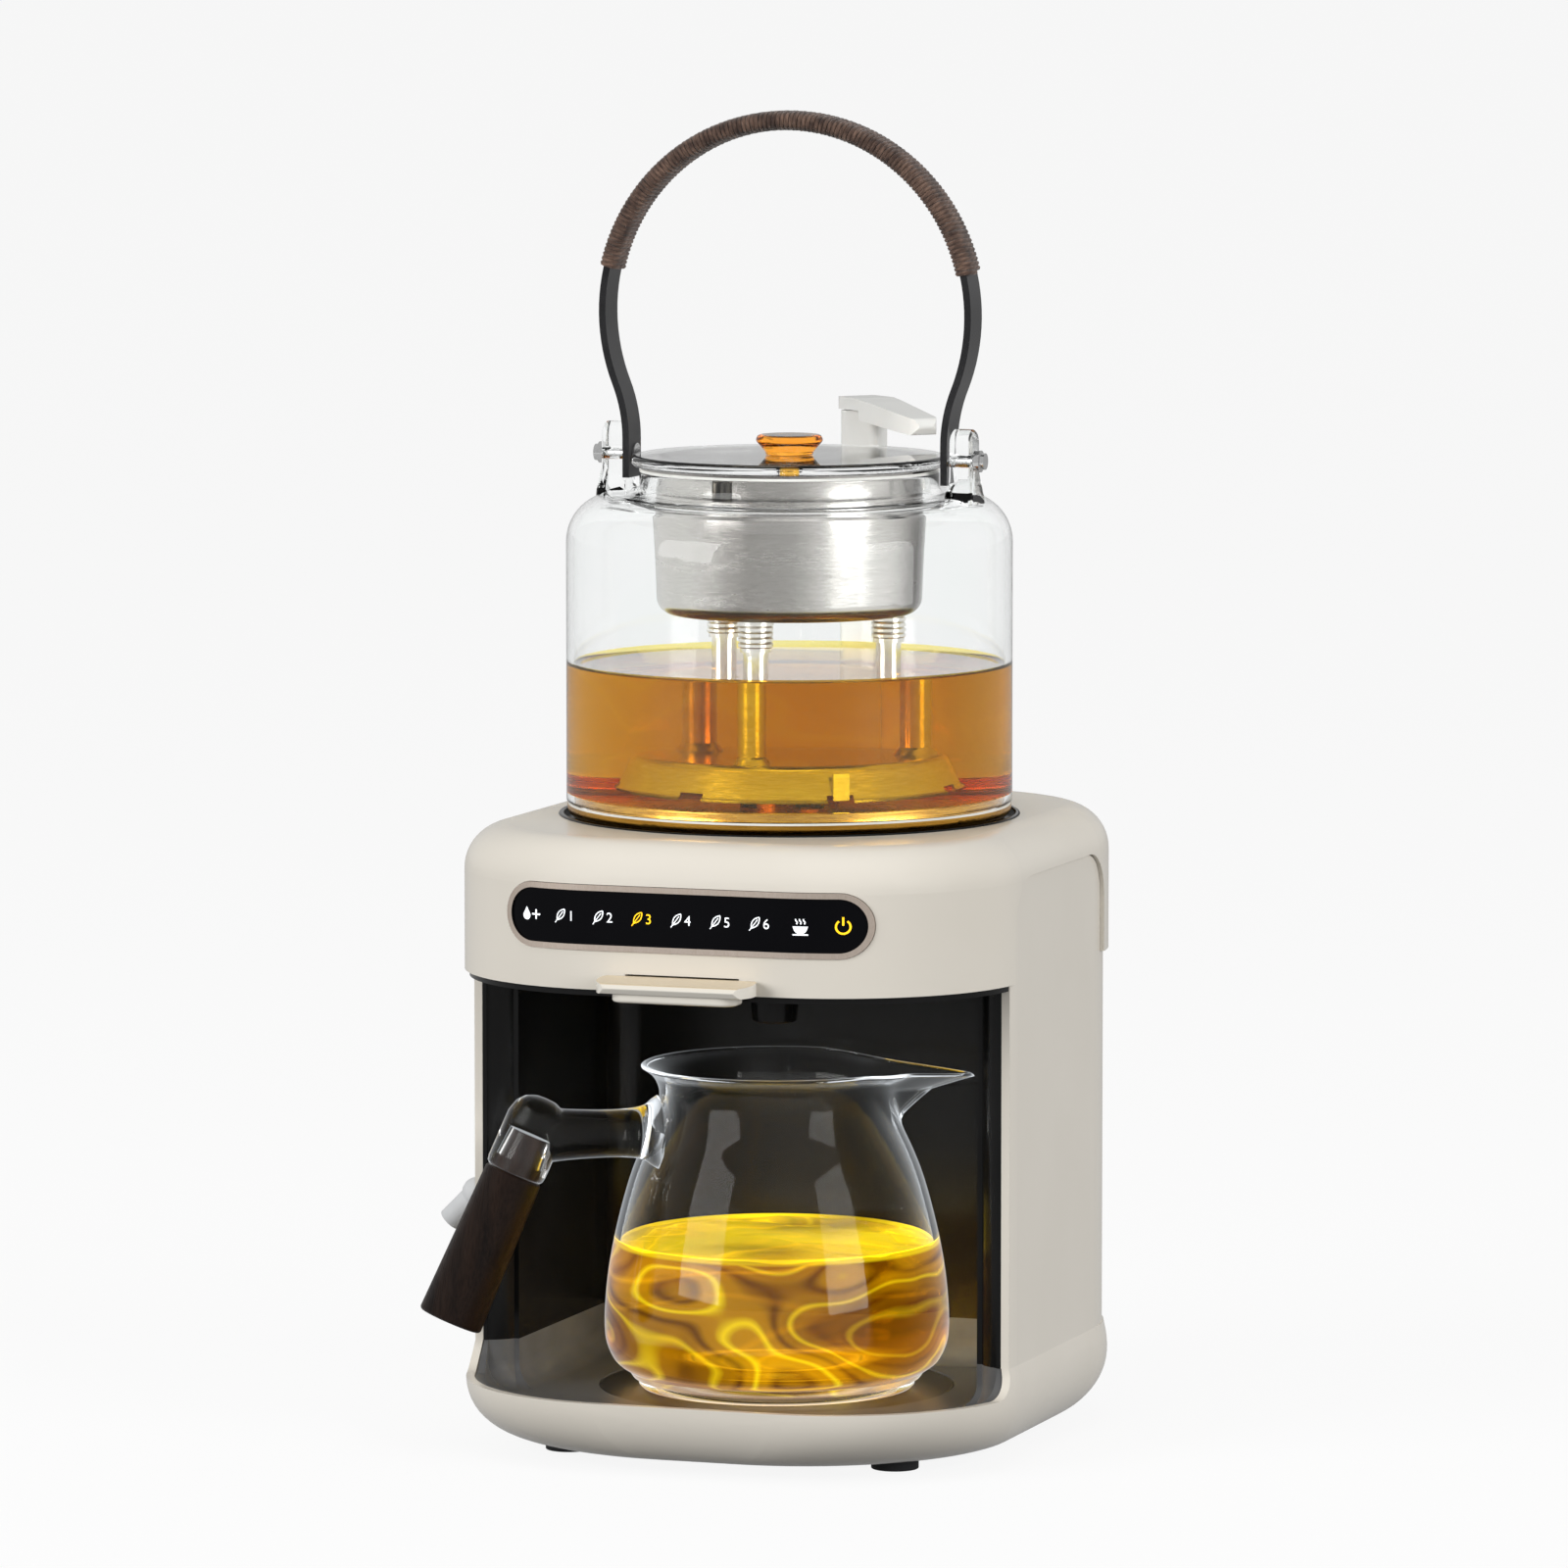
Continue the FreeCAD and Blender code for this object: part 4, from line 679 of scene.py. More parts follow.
FINISHES: Mapping[Slot, Finish] = {
    Slot.CREAM: Plastic("cream_shell_finish", (0.735, 0.69, 0.61), (0.755, 0.71, 0.632),
                        spread=0.05, peel=0.02, scale=22.0),
    Slot.BLACK_GLOSS: Plastic("black_gloss_finish", (0.005, 0.005, 0.005), (0.009, 0.009, 0.009),
                              spread=0.08, peel=0.03, scale=26.0, specular=0.15),
    Slot.BASE_GREY: Plastic("base_grey_finish", (0.09, 0.09, 0.095), (0.12, 0.12, 0.125),
                            roughness=0.55, spread=0.1, peel=0.4, scale=120.0),
    Slot.FOOT_RUBBER: Plastic("foot_rubber_finish", (0.018, 0.018, 0.02), (0.03, 0.03, 0.032),
                              roughness=0.72, spread=0.15, peel=0.5, scale=150.0),
    Slot.SCREW_STEEL: Metal("screw_steel_finish", (0.5, 0.5, 0.5), (0.68, 0.68, 0.67),
                            roughness=0.3, scale=1800.0, swirl=0.02),
    Slot.WARM_PLATE: Plastic("warm_plate_finish", (0.02, 0.02, 0.022), (0.035, 0.034, 0.034),
                             roughness=0.32, spread=0.12, peel=0.25, scale=60.0),
    Slot.HEATER: Metal("heater_metal_finish", (0.4, 0.4, 0.41), (0.58, 0.58, 0.58),
                       roughness=0.5, scale=300.0, swirl=1.0, relief=0.4),
    Slot.CHAMPAGNE: Plastic("champagne_finish", (0.72, 0.6, 0.43), (0.78, 0.67, 0.5),
                            roughness=0.26, spread=0.08, peel=0.06, scale=30.0, coat=0.5,
                            metallic=0.55),
    Slot.PANEL: Plastic("panel_black_finish", (0.002, 0.002, 0.003), (0.004, 0.004, 0.005),
                        roughness=0.09, spread=0.02, peel=0.0, scale=18.0, specular=0.05),
    Slot.BOARD: Board("circuit_board_finish", (0.01, 0.09, 0.035), (0.05, 0.2, 0.07)),
    Slot.INLET: Plastic("inlet_grey_finish", (0.58, 0.59, 0.6), (0.66, 0.67, 0.68),
                        roughness=0.34, spread=0.08, peel=0.1, scale=80.0),
    Slot.PUMP: Plastic("pump_black_finish", (0.015, 0.015, 0.017), (0.03, 0.03, 0.033),
                       roughness=0.45, spread=0.12, peel=0.2, scale=90.0),
    Slot.HOSE: Plastic("hose_silicone_finish", (0.62, 0.62, 0.58), (0.74, 0.74, 0.7),
                       roughness=0.4, spread=0.08, peel=0.1, scale=70.0),
    Slot.CLEAR_GLASS: Glass("clear_glass_finish", (0.97, 0.985, 0.98), (0.985, 0.99, 0.99)),
    Slot.AMBER_GLASS: Glass("amber_glass_finish", (1.0, 0.62, 0.08), (1.0, 0.7, 0.14),
                            ripple=0.1, scale=120.0, depth_colour=(1.0, 0.5, 0.02),
                            density=60.0),
    Slot.GASKET: Plastic("gasket_silicone_finish", (0.7, 0.7, 0.66), (0.8, 0.8, 0.77),
                         roughness=0.42, spread=0.08, peel=0.1, scale=80.0),
    # the kettle steel's bands down its wall are painted reflection
    Slot.KETTLE_STEEL: Metal("kettle_steel_finish", (0.5, 0.24, 0.03), (0.78, 0.44, 0.08),
                             roughness=0.28, scale=1500.0, streaks=0.4,
                             streak_colour=(0.16, 0.07, 0.01)),
    Slot.BRUSHED_STEEL: Metal("brushed_steel_finish", (0.72, 0.7, 0.66), (0.82, 0.8, 0.76),
                              roughness=0.2),
    Slot.STRAP: Plastic("strap_black_finish", (0.012, 0.012, 0.013), (0.03, 0.03, 0.032),
                        roughness=0.3, spread=0.14, peel=0.12, scale=60.0, metallic=0.3),
    Slot.CORD: Cord("cord_wrap_finish", (0.035, 0.018, 0.013), (0.2, 0.12, 0.085)),
    Slot.WALNUT: Wood("walnut_finish", (0.004, 0.002, 0.0015), (0.016, 0.008, 0.005),
                      lean=(0.35, 0.0, 0.0)),
}
SATIN_TRAY = Plastic("satin_tray_finish", (0.09, 0.09, 0.091), (0.12, 0.12, 0.12),
                     roughness=0.34, spread=0.1, peel=0.1, scale=90.0, specular=0.25)
WHITE_ARM = Plastic("white_arm_finish", (0.82, 0.82, 0.79), (0.85, 0.85, 0.82),
                    roughness=0.25, spread=0.05, peel=0.03)
ROSE_BEZEL = Metal("rose_bezel_finish", (0.6, 0.5, 0.42), (0.72, 0.62, 0.54),
                   roughness=0.18, scale=900.0, swirl=1.0)
# the basket's bands down its wall are painted reflection
BASKET_STEEL = Metal("basket_steel_finish", (0.62, 0.6, 0.57), (0.68, 0.66, 0.63),
                     roughness=0.22, relief=0.03, streaks=1.0, streak_turn=0.3,
                     streak_colour=(0.06, 0.05, 0.045))
PIN_STEEL = Metal("pin_steel_finish", (0.6, 0.6, 0.6), (0.74, 0.74, 0.74), roughness=0.16,
                  scale=2400.0)
# the lever's darker top faces are painted shade
PEARL_LEVER = TwoFace("pearl_lever_finish", (0.7, 0.57, 0.38), (0.8, 0.76, 0.68))
# the jug's glass has a painted edge highlight
JUG_GLASS = Glass("jug_glass_finish", (0.98, 0.985, 0.98), (0.985, 0.99, 0.99), ior=1.2,
                  edge=0.6)
# both teas glow with painted light: painted caustic loops and a painted highlight line
KETTLE_TEA = Tea("kettle_tea_finish", (1.0, 0.88, 0.3), (1.0, 0.91, 0.4), density=62.0,
                 glow=0.04)
JUG_TEA = Tea("jug_tea_finish", (1.0, 0.93, 0.5), (1.0, 0.95, 0.6), glow=0.85)
WHITE_MARK = LitMark("white_mark_finish", (0.9, 0.93, 0.95), (0.78, 0.82, 0.86), strength=0.9)
AMBER_MARK = LitMark("amber_mark_finish", (1.0, 0.6, 0.02), (0.95, 0.5, 0.01), strength=1.1)


class FinishShelf:
    """Materials by the name of their finish, each built on its first use."""

    def __init__(self) -> None:
        """Start with nothing built."""
        self.made: dict[str, bpy.types.Material] = {}

    def take(self, finish: Finish) -> bpy.types.Material:
        """Material of a finish."""
        if finish.name not in self.made:
            self.made[finish.name] = finish.make()
        return self.made[finish.name]


# ---------------------------------------------------------------- meshes


def mesh_object(name: str, vertices: Sequence[Vector],
                faces: Sequence[Sequence[int]]) -> bpy.types.Object:
    """Smooth mesh object, its faces turned outwards.

    Args:
        name: Name of the object and its mesh.
        vertices: Corners in millimetres.
        faces: Corner numbers of each face.

    Returns:
        The object, linked to the scene.
    """
    mesh = bpy.data.meshes.new(name)
    mesh.from_pydata([v * MM for v in vertices], [], faces)
    work = bmesh.new()
    work.from_mesh(mesh)
    bmesh.ops.recalc_face_normals(work, faces=work.faces)
    work.to_mesh(mesh)
    work.free()
    piece = bpy.data.objects.new(name, mesh)
    bpy.context.scene.collection.objects.link(piece)
    smooth(piece)
    return piece


def smooth(piece: bpy.types.Object, sharp: float = 40.0) -> None:
    """Shade smooth, but for edges over an angle in degrees."""
    piece.data.shade_smooth()
    piece.data.set_sharp_from_angle(angle=math.radians(sharp))


def skin(name: str, rings: Sequence[Sequence[Vector]]) -> bpy.types.Object:
    """Closed skin over rings of points; a ring of one point is a pole.

    Args:
        name: Name of the object.
        rings: Rings from one end to the other. If neither end is a pole, the last ring joins
            the first.

    Returns:
        The object.
    """
    vertices: list[Vector] = []
    starts = []
    for loop in rings:
        starts.append(len(vertices))
        vertices.extend(loop)
    pairs = list(zip(range(len(rings)), range(1, len(rings))))
    if len(rings[0]) > 1 and len(rings[-1]) > 1:
        pairs.append((len(rings) - 1, 0))
    faces = []
    for a, b in pairs:
        count = max(len(rings[a]), len(rings[b]))
        for i in range(count):
            j = (i + 1) % count
            low = [starts[a] + k % len(rings[a]) for k in (i, j)]
            high = [starts[b] + k % len(rings[b]) for k in (j, i)]
            faces.append(list(dict.fromkeys(low + high)))
    return mesh_object(name, vertices, faces)


def smooth_through(points: Sequence[Point], steps: int) -> list[Point]:
    """Smooth line through points.

    Args:
        points: Points to pass through.
        steps: Parts of each span.

    Returns:
        Points of the line, both ends included.
    """
    ends = [points[0], *points, points[-1]]
    line = []
    for a, b, c, d in zip(ends, ends[1:], ends[2:], ends[3:]):
        for i in range(steps):
            t = i / steps
            line.append(tuple(
                0.5 * (2 * q + (r - p) * t + (2 * p - 5 * q + 4 * r - s) * t * t
                       + (3 * q - p - 3 * r + s) * t ** 3) for p, q, r, s in zip(a, b, c, d)))
    line.append(tuple(points[-1]))
    return line


def arc(centre: Point, radius: float, start: float, stop: float, steps: int) -> list[Point]:
    """Points of an arc in the plane, angles in degrees."""
    turns = [math.radians(start + (stop - start) * i / steps) for i in range(steps + 1)]
    return [(centre[0] + radius * math.cos(a), centre[1] + radius * math.sin(a)) for a in turns]


def lathe(name: str, profile: Sequence[Point], origin: Vector = Vector(),
          axis: Vector = Vector((0, 0, 1)), segments: int = 128) -> bpy.types.Object:
    """Turned piece.

    Args:
        name: Name of the object.
        profile: (radius, distance along the axis) points; a radius of 0 is a pole.
        origin: Start of the axis.
        axis: Direction of the axis.
        segments: Points of a ring.

    Returns:
        The object.
    """
    turn = axis.normalized().to_track_quat("Z", "Y").to_matrix()
    angles = [2 * math.pi * i / segments for i in range(segments)]
    rings = []
    for radius, along in profile:
        around = angles if radius else angles[:1]
        rings.append([origin + turn @ Vector((radius * math.cos(a), radius * math.sin(a), along))
                      for a in around])
    return skin(name, rings)


def evaluated(piece: bpy.types.Object) -> bpy.types.Mesh:
    """Plain mesh of an object with its modifiers applied.

    Args:
        piece: Mesh or text object.

    Returns:
        A new mesh.
    """
    bpy.context.view_layer.update()
    graph = bpy.context.evaluated_depsgraph_get()
    return bpy.data.meshes.new_from_object(piece.evaluated_get(graph))


def settle(piece: bpy.types.Object) -> None:
    """Replace the mesh by its evaluated one and drop the modifiers.

    Args:
        piece: Mesh object.
    """
    mesh = evaluated(piece)
    old = piece.data
    piece.modifiers.clear()
    piece.data = mesh
    bpy.data.meshes.remove(old)
    mesh.name = piece.name


def joined(piece: bpy.types.Object, tool: bpy.types.Object, operation: str,
           sharp: float = 40.0) -> None:
    """Boolean of a piece with a tool, which is used up.

    Args:
        piece: Piece that is changed.
        tool: Closed mesh.
        operation: UNION or DIFFERENCE.
        sharp: Angle in degrees from which an edge is sharp.
    """
    step = piece.modifiers.new("joined", "BOOLEAN")
    step.operation = operation
    step.solver = "EXACT"
    step.object = tool
    settle(piece)
    bpy.data.objects.remove(tool)
    smooth(piece, sharp)


def grown(name: str, sizes: Mapping[str, float], material: bpy.types.Material,
          fill: Callable[[NodeGraph, Mapping[str, Term]], Term]) -> bpy.types.Object:
    """Piece whose mesh is made by a Geometry Nodes tree.

    Args:
        name: Name of the piece and of its tree.
        sizes: Inputs of the tree by name, lengths in metres.
        material: Material that the tree sets.
        fill: Adds the nodes and returns the geometry.

    Returns:
        The piece, its mesh made and its modifier gone.
    """
    tree = bpy.data.node_groups.new(name, "GeometryNodeTree")
    tree.interface.new_socket("Geometry", in_out="OUTPUT", socket_type="NodeSocketGeometry")
    sockets = {}
    for label, size in sizes.items():
        kind = "NodeSocketInt" if isinstance(size, int) else "NodeSocketFloat"
        sockets[label] = tree.interface.new_socket(label, in_out="INPUT", socket_type=kind)
    graph = NodeGraph(tree)
    made = fill(graph, graph.outputs("NodeGroupInput"))
    real = graph.value("GeometryNodeRealizeInstances", {0: made})
    graph.add("NodeGroupOutput", {0: graph.value(
        "GeometryNodeSetMaterial", {"Geometry": real, "Material": material})})
    piece = mesh_object(name, [Vector(), Vector((1, 0, 0)), Vector((0, 1, 0))], [(0, 1, 2)])
    step = piece.modifiers.new(name, "NODES")
    step.node_group = tree
    for label, size in sizes.items():
        step[sockets[label].identifier] = size
    settle(piece)
    return piece


# ---------------------------------------------------------------- sub-assemblies


@dataclass
class Assembly:
    """Base of the sub-assemblies: dresses meshes and lets them ride."""

    shelf: FinishShelf

    def keep(self, piece: bpy.types.Object, body: Body, slot: Slot, finish: Finish | None = None,
             replaced: Sequence[str] = (), casts: bool = True) -> None:
        """Finish a piece and hang it on its body.

        Args:
            piece: Mesh object, in place.
            body: Body that it rides on.
            slot: Record slot that it belongs to.
            finish: Finish where it isn't the slot's own.
            replaced: CAD nodes that it stands for.
            casts: Whether it casts a shadow.
        """
        piece.data.materials.clear()
        piece.data.materials.append(self.shelf.take(finish or FINISHES[slot]))
        piece.visible_shadow = casts
        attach(piece, body.value)
        if replaced:
            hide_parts(*replaced)
        LOG.info("%s rides on %s", piece.name, body.value)


@dataclass
class CadDress(Assembly):
    """Dresses the CAD nodes that stay in view."""

    clear: tuple[Slot, ...] = (Slot.CLEAR_GLASS, Slot.AMBER_GLASS)
    own: Mapping[str, Finish] = field(default_factory=lambda: {
        "bay_tray": SATIN_TRAY, "filler_post": WHITE_ARM, "filler_arm": WHITE_ARM,
        "panel_bezel": ROSE_BEZEL, "infuser_basket": BASKET_STEEL, "drain_lever": PEARL_LEVER,
        "lever_bar": PEARL_LEVER, "bail_pins": PIN_STEEL})

    def build(self, frame: Mapping[str, Mapping]) -> None:
        """Give every node the finish of its slot.
        """
        for part in frame["record"]["subparts"]:
            node = frame["nodes"][part["node"]]
            slot = Slot(part["material_slot"])
            material = self.shelf.take(self.own.get(part["node"], FINISHES[slot]))
            if not node.material_slots:
                node.data.materials.append(material)
            for place in node.material_slots:
                place.material = material
            if slot in self.clear:
                node.visible_shadow = False


@dataclass
class ValveSprings(Assembly):
    """Coil springs of the drain valve, copied from the frame as they stand, not shortened as the
    lever lifts the rod.
    """

    travel: float = 4.9
    springs: Sequence[tuple[str, Body]] = (("return_spring", Body.ROOT),
                                           ("valve_spring", Body.KETTLE))

    def build(self, frame: Mapping[str, Mapping]) -> None:
        """Build both springs.
        """
        for name, body in self.springs:
            node = frame["nodes"][name]
            mesh = node.data.copy()
            mesh.transform(node.matrix_world)
            piece = bpy.data.objects.new(f"{name}_coil", mesh)
            bpy.context.scene.collection.objects.link(piece)
            self.keep(piece, body, Slot.SCREW_STEEL, replaced=(name,))
            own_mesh(piece)


@dataclass
class KettleGlass(Assembly):
    """Blown kettle with two ears melted onto its shoulder, and the tea in it."""

    radius: float = 70.0
    wall: float = 2.2
    bevel: float = 0.6
    shoulder_round: float = 15.0
    shoulder: float = 101.6
    seat: float = 195.5
    neck_radius: float = 47.0
    neck_wall: float = 2.5
    neck_outer_round: float = 2.5
    neck_inner_round: float = 4.7
    rim_round: float = 0.9
    ear_half: float = 5.0
    ear_thick: float = 7.2
    ear_sunk: float = 3.0
    ear_round: float = 1.3
    pin_drop: float = 10.0
    pin_radius: float = 2.05
    floor_rise: float = 2.75
    plug: float = 7.85
    plug_radius: float = 66.45
    tea_level: float = 243.4
    rise_width: float = 2.4
    rise_height: float = 1.3
    overlap: float = 0.15

    def build(self) -> None:
        """Build the glass and the tea."""
        low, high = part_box("kettle_glass")
        glass = lathe("kettle_blown_glass", self.profile(low.z / MM, high.z / MM), segments=192)
        ears_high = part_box("kettle_ears")[1]
        for side in (-1, 1):
            joined(glass, self.ear(side, ears_high.x / MM, ears_high.z / MM), "UNION")
        beyond = ears_high.x / MM + 10
        level = ears_high.z / MM - self.pin_drop
        bore = lathe("pin_bore", [(0, 0), (self.pin_radius, 0), (self.pin_radius, 2 * beyond),
                                  (0, 2 * beyond)], Vector((-beyond, 0, level)),
                     Vector((1, 0, 0)), 32)
        joined(glass, bore, "DIFFERENCE")
        self.keep(glass, Body.KETTLE, Slot.CLEAR_GLASS, replaced=("kettle_glass", "kettle_ears"),
                  casts=False)
        tea = lathe("kettle_tea", self.tea_profile(), segments=160)
        self.keep(tea, Body.KETTLE, Slot.AMBER_GLASS, KETTLE_TEA, casts=False)

    def profile(self, low: float, high: float) -> list[Point]:
        """Profile of the wall from its foot, up outside and down inside.

        Args:
            low: Height of the foot.
            high: Height of the rim.

        Returns:
            (radius, height) points.
        """
        top = self.seat + self.shoulder
        middle = (self.radius - self.shoulder_round, top - self.shoulder_round)
        levels = [low + (middle[1] - low) * t / 4 for t in (1, 2, 3)]
        outer, inner, rim = self.neck_outer_round, self.neck_inner_round, self.rim_round
        inside = self.radius - self.wall
        neck_in = self.neck_radius - self.neck_wall
        return [(self.radius - self.bevel, low), (self.radius, low + self.bevel),
                *((self.radius, z) for z in levels),
                *arc(middle, self.shoulder_round, 0, 90, 14),
                *arc((self.neck_radius + outer, top + outer), outer, 270, 180, 6),
                *arc((self.neck_radius - rim, high - rim), rim, 0, 90, 4),
                *arc((neck_in + rim, high - rim), rim, 90, 180, 4),
                *arc((neck_in + inner, top - self.wall + inner), inner, 180, 270, 8),
                *arc(middle, self.shoulder_round - self.wall, 90, 0, 14),
                *((inside, z) for z in reversed(levels)),
                (inside, low + self.bevel), (inside + self.bevel, low)]

    def ear(self, side: int, outer: float, top: float) -> bpy.types.Object:
        """One ear: a pierced tongue on a melted pad.

        Args:
            side: -1 for the left one, 1 for the right one.
            outer: Its outer face.
            top: Its top.

        Returns:
            The closed mesh.
        """
        centre = top - self.ear_half
        low = self.seat + self.shoulder - self.ear_sunk
        edge = [(self.ear_half, low + (centre - low) * t / 6) for t in range(6)]
        line = [*edge, *arc((0.0, centre), self.ear_half, 0, 180, 16),
                *((-y, z) for y, z in reversed(edge))]
        rings = []
        for k in range(9):
            a = math.pi * k / 8
            inset = 0.0 if k in (3, 4, 5) else self.ear_round * (1 - math.sin(a))
            face = self.ear_thick / 2 - self.ear_round * (1 - abs(math.cos(a)))
            x = 0.0 if k == 4 else math.copysign(face, k - 4)
            points = [self.ear_point(x, y, z, centre, inset) for y, z in line]
            rings.append([Vector((side * (outer - self.ear_thick / 2 + p.x), p.y, p.z))
                          for p in points])
        first, last = ([sum(ring, Vector()) / len(ring)] for ring in (rings[0], rings[-1]))
        return skin("kettle_ear", [first, *rings, last])

    def ear_point(self, x: float, y: float, z: float, centre: float, inset: float) -> Vector:
        """Point of an ear's skin, drawn in by its rounding and flared at its foot.

        Args:
            x: How far out it is from the ear's middle.
            y: How far along.
            z: Its height.
            centre: Height of the ear's round end.
            inset: What the rounding takes off.

        Returns:
            The point, its x still from the ear's middle.
        """
        reach = math.hypot(y, max(z - centre, 0.0)) or 1.0
        shrink = max(reach - inset, 0.0) / reach
        flare = 0.5 * math.exp(-max(z - self.seat - self.shoulder, 0.0) / 1.8)
        height = centre + (z - centre) * shrink if z > centre else z
        return Vector((x * (1 + flare * 0.7), y * shrink * (1 + flare), height))

    def tea_profile(self) -> list[Point]:
        """Profile of the tea, with its surface drawn up at the glass.

        Returns:
            (radius, height) points from the middle of its floor.
        """
        floor, level = self.seat + self.floor_rise, self.tea_level
        edge = self.radius - self.wall + self.overlap
        step = self.seat + self.plug
        rise = [(edge - self.rise_width * (1 - math.cos(a)) - 0.02,
                 level + self.rise_height * (1 - math.sin(a)))
                for a in map(math.radians, range(0, 91, 15))]
        return [(0, floor), (self.plug_radius, floor), (self.plug_radius, step), (edge, step),
                (edge, level - 4), *rise, (edge - 20, level), (0, level)]


@dataclass
class GlassJug(Assembly):
    """Blown jug with a drawn lip and a glass socket for its grip, and the tea in it."""

    place_y: float = -12.0
    turn: float = 210.0
    wall: float = 2.0
    foot_outer: float = 43.4
    foot_inner: float = 38.4
    foot_rise: float = 2.8
    floor: float = 6.9
    belly: Sequence[Point] = ((46.6, 5.0), (51.6, 9.2), (54.2, 18.8), (52.37, 40.41),
                              (46.36, 65.33), (38.94, 83.77), (36.9, 92.3), (38.75, 97.85),
                              (42.6, 100.9))
    lip_reach: Sequence[Point] = ((0.0, 63.4), (5.9, 49.6), (15.4, 40.0), (25.0, 33.0))
    lip_half: Sequence[Point] = ((0.0, 28.0), (5.9, 22.0), (15.4, 13.0), (25.0, 8.0))
    lip_root: float = 21.5
    lip_dip: float = 4.6
    lip_depth: float = 25.0
    lip_fade: float = 8.0
    lip_spread: float = 80.0
    lip_blunt: float = 0.059
    lip_blend: float = 2.2
    around: int = 208
    bead: float = 1.15
    corner_width: float = 3.2
    corner_height: float = 3.6
    tea_rise: float = 45.8
    tea_overlap: float = 0.15
    socket_height: float = 81.0
    socket_radius: float = 9.6
    grip_radius: float = 83.6
    grip_height: float = 69.3
    grip_tilt: float = 24.0
    peg_radius: float = 5.75

    def build(self) -> None:
        """Build the glass and the tea."""
        self.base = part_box("jug_glass")[0].z / MM
        glass = skin("jug_blown_glass", self.rings())
        for tool in (self.stub(), self.socket()):
            joined(glass, tool, "UNION")
        joined(glass, self.peg_hole(), "DIFFERENCE", 55.0)
        self.place(glass)
        self.keep(glass, Body.JUG, Slot.CLEAR_GLASS, JUG_GLASS, ("jug_glass", "jug_socket"),
                  casts=False)
        tea = self.tea()
        self.place(tea)
        filled = replace(JUG_TEA, surface=(self.base + self.tea_rise) * MM)
        self.keep(tea, Body.JUG, Slot.AMBER_GLASS, filled, casts=False)

    def place(self, piece: bpy.types.Object) -> None:
        """Turn a mesh from the handle's plane to its place on the warming plate."""
        piece.data.transform(
            Matrix.Translation((0, self.place_y * MM, self.base * MM))
            @ Matrix.Rotation(math.radians(self.turn), 4, "Z"))

    @staticmethod
    def table(points: Sequence[Point], at: float) -> float:
        """Value between the points of a table, held beyond its ends."""
        for (x0, y0), (x1, y1) in zip(points, points[1:]):
            if at <= x1:
                return y0 + (y1 - y0) * max(at - x0, 0.0) / (x1 - x0)
        return points[-1][1]

    def lip(self, angle: float, drop: float, inset: float) -> float:
        """Reach of the lip's wedge.

        Args:
            angle: Direction from the axis, 0 through the lip.
            drop: How far below the rim.
            inset: How far inside the outer face.

        Returns:
            Its distance from the axis; 0 away from the lip.
        """
        if abs(angle) > math.radians(self.lip_spread):
            return 0.0
        reach = self.table(self.lip_reach, drop) - inset * 1.5
        half = self.table(self.lip_half, drop) - inset
        bent = math.hypot(angle, self.lip_blunt)
        slope = (reach - self.lip_root) * (math.sin(bent) - math.sin(self.lip_blunt))
        return reach * half / (slope + half * math.cos(bent))

    def wall_point(self, angle: float, radius: float, height: float, inset: float) -> Vector:
        """Point of the wall, drawn out to the lip and down with its dip.

        Args:
            angle: Direction from the axis, 0 through the lip.
            radius: Radius of the round wall there.
            height: Height before the dip.
            inset: How far inside the outer face.

        Returns:
            The point, the lip towards -X.
        """
        drop = max(self.belly[-1][1] - height, 0.0)
        out = radius
        if drop < self.lip_depth:
            reach = self.lip(angle, drop, inset)
            out = 0.5 * (radius + reach + math.hypot(radius - reach, self.lip_blend)) - 0.16
            fade = min(1.0, (self.lip_depth - drop) / self.lip_fade)
            out = radius + (max(out, radius) - radius) * fade
        along = out * math.cos(angle)
        share = (along - self.lip_root) / (self.lip_reach[0][1] - self.lip_root)
        dip = self.lip_dip * min(max(share, 0.0), 1.1) * max(1 - drop / self.lip_depth, 0.0)
        return Vector((-along, -out * math.sin(angle), height - dip))

    def angles(self) -> list[float]:
        """Directions of a ring's points, closer together at the lip."""
        steps = [2 * i / self.around - 1 for i in range(self.around)]
        return [math.pi * (0.42 * t + 0.58 * t ** 3) for t in steps]

    def rings(self) -> list[list[Vector]]:
        """Rings from the middle of the foot, up outside, over the rim and down inside.

        Returns:
            The rings; the first and the last are poles.
        """
        angles = self.angles()
        outside = smooth_through(self.belly, 7)
        top_radius, top = outside[-1]
        bead = self.bead
        foot = [(self.foot_inner - 0.4, self.foot_rise), (self.foot_inner, self.foot_rise - 0.4),
                (self.foot_inner, 0.5), (self.foot_inner + 0.6, 0.0), (self.foot_outer - 0.8, 0.0),
                (self.foot_outer, 0.8), (self.foot_outer, self.foot_rise - 0.5),
                (self.foot_outer + 0.8, self.foot_rise), (45.4, self.foot_rise + 0.4)]
        plan: list[tuple[float, float, float]] = [
            (r, z, 0) for r, z in [(0, self.foot_rise), (20.0, self.foot_rise), *foot, *outside]]
        centre = top_radius - bead + 0.15
        plan += [(centre + bead * math.cos(a), top + bead * math.sin(a) * 0.8, self.wall * (i / 8))
                 for i, a in ((k, math.pi * k / 8) for k in range(1, 8))]
        inner = [(r - self.wall, z, self.wall) for r, z in reversed(outside) if z > self.floor + 4]
        plan += inner
        corner = self.corner(inner[-1][0], self.floor)
        plan += [(r, z, 0) for r, z in [*corner, (20.0, self.floor), (0, self.floor)]]
        return [[Vector((0, 0, z))] if r == 0 else
                [self.wall_point(a, r, z, inset) for a in angles] for r, z, inset in plan]

    def corner(self, radius: float, floor: float) -> list[Point]:
        """Points of the turn from the inside of the wall down to a floor."""
        return [(radius - self.corner_width * (1 - math.cos(a)),
                 floor + self.corner_height * (1 - math.sin(a)))
                for a in map(math.radians, (15, 35, 55, 75, 90))]

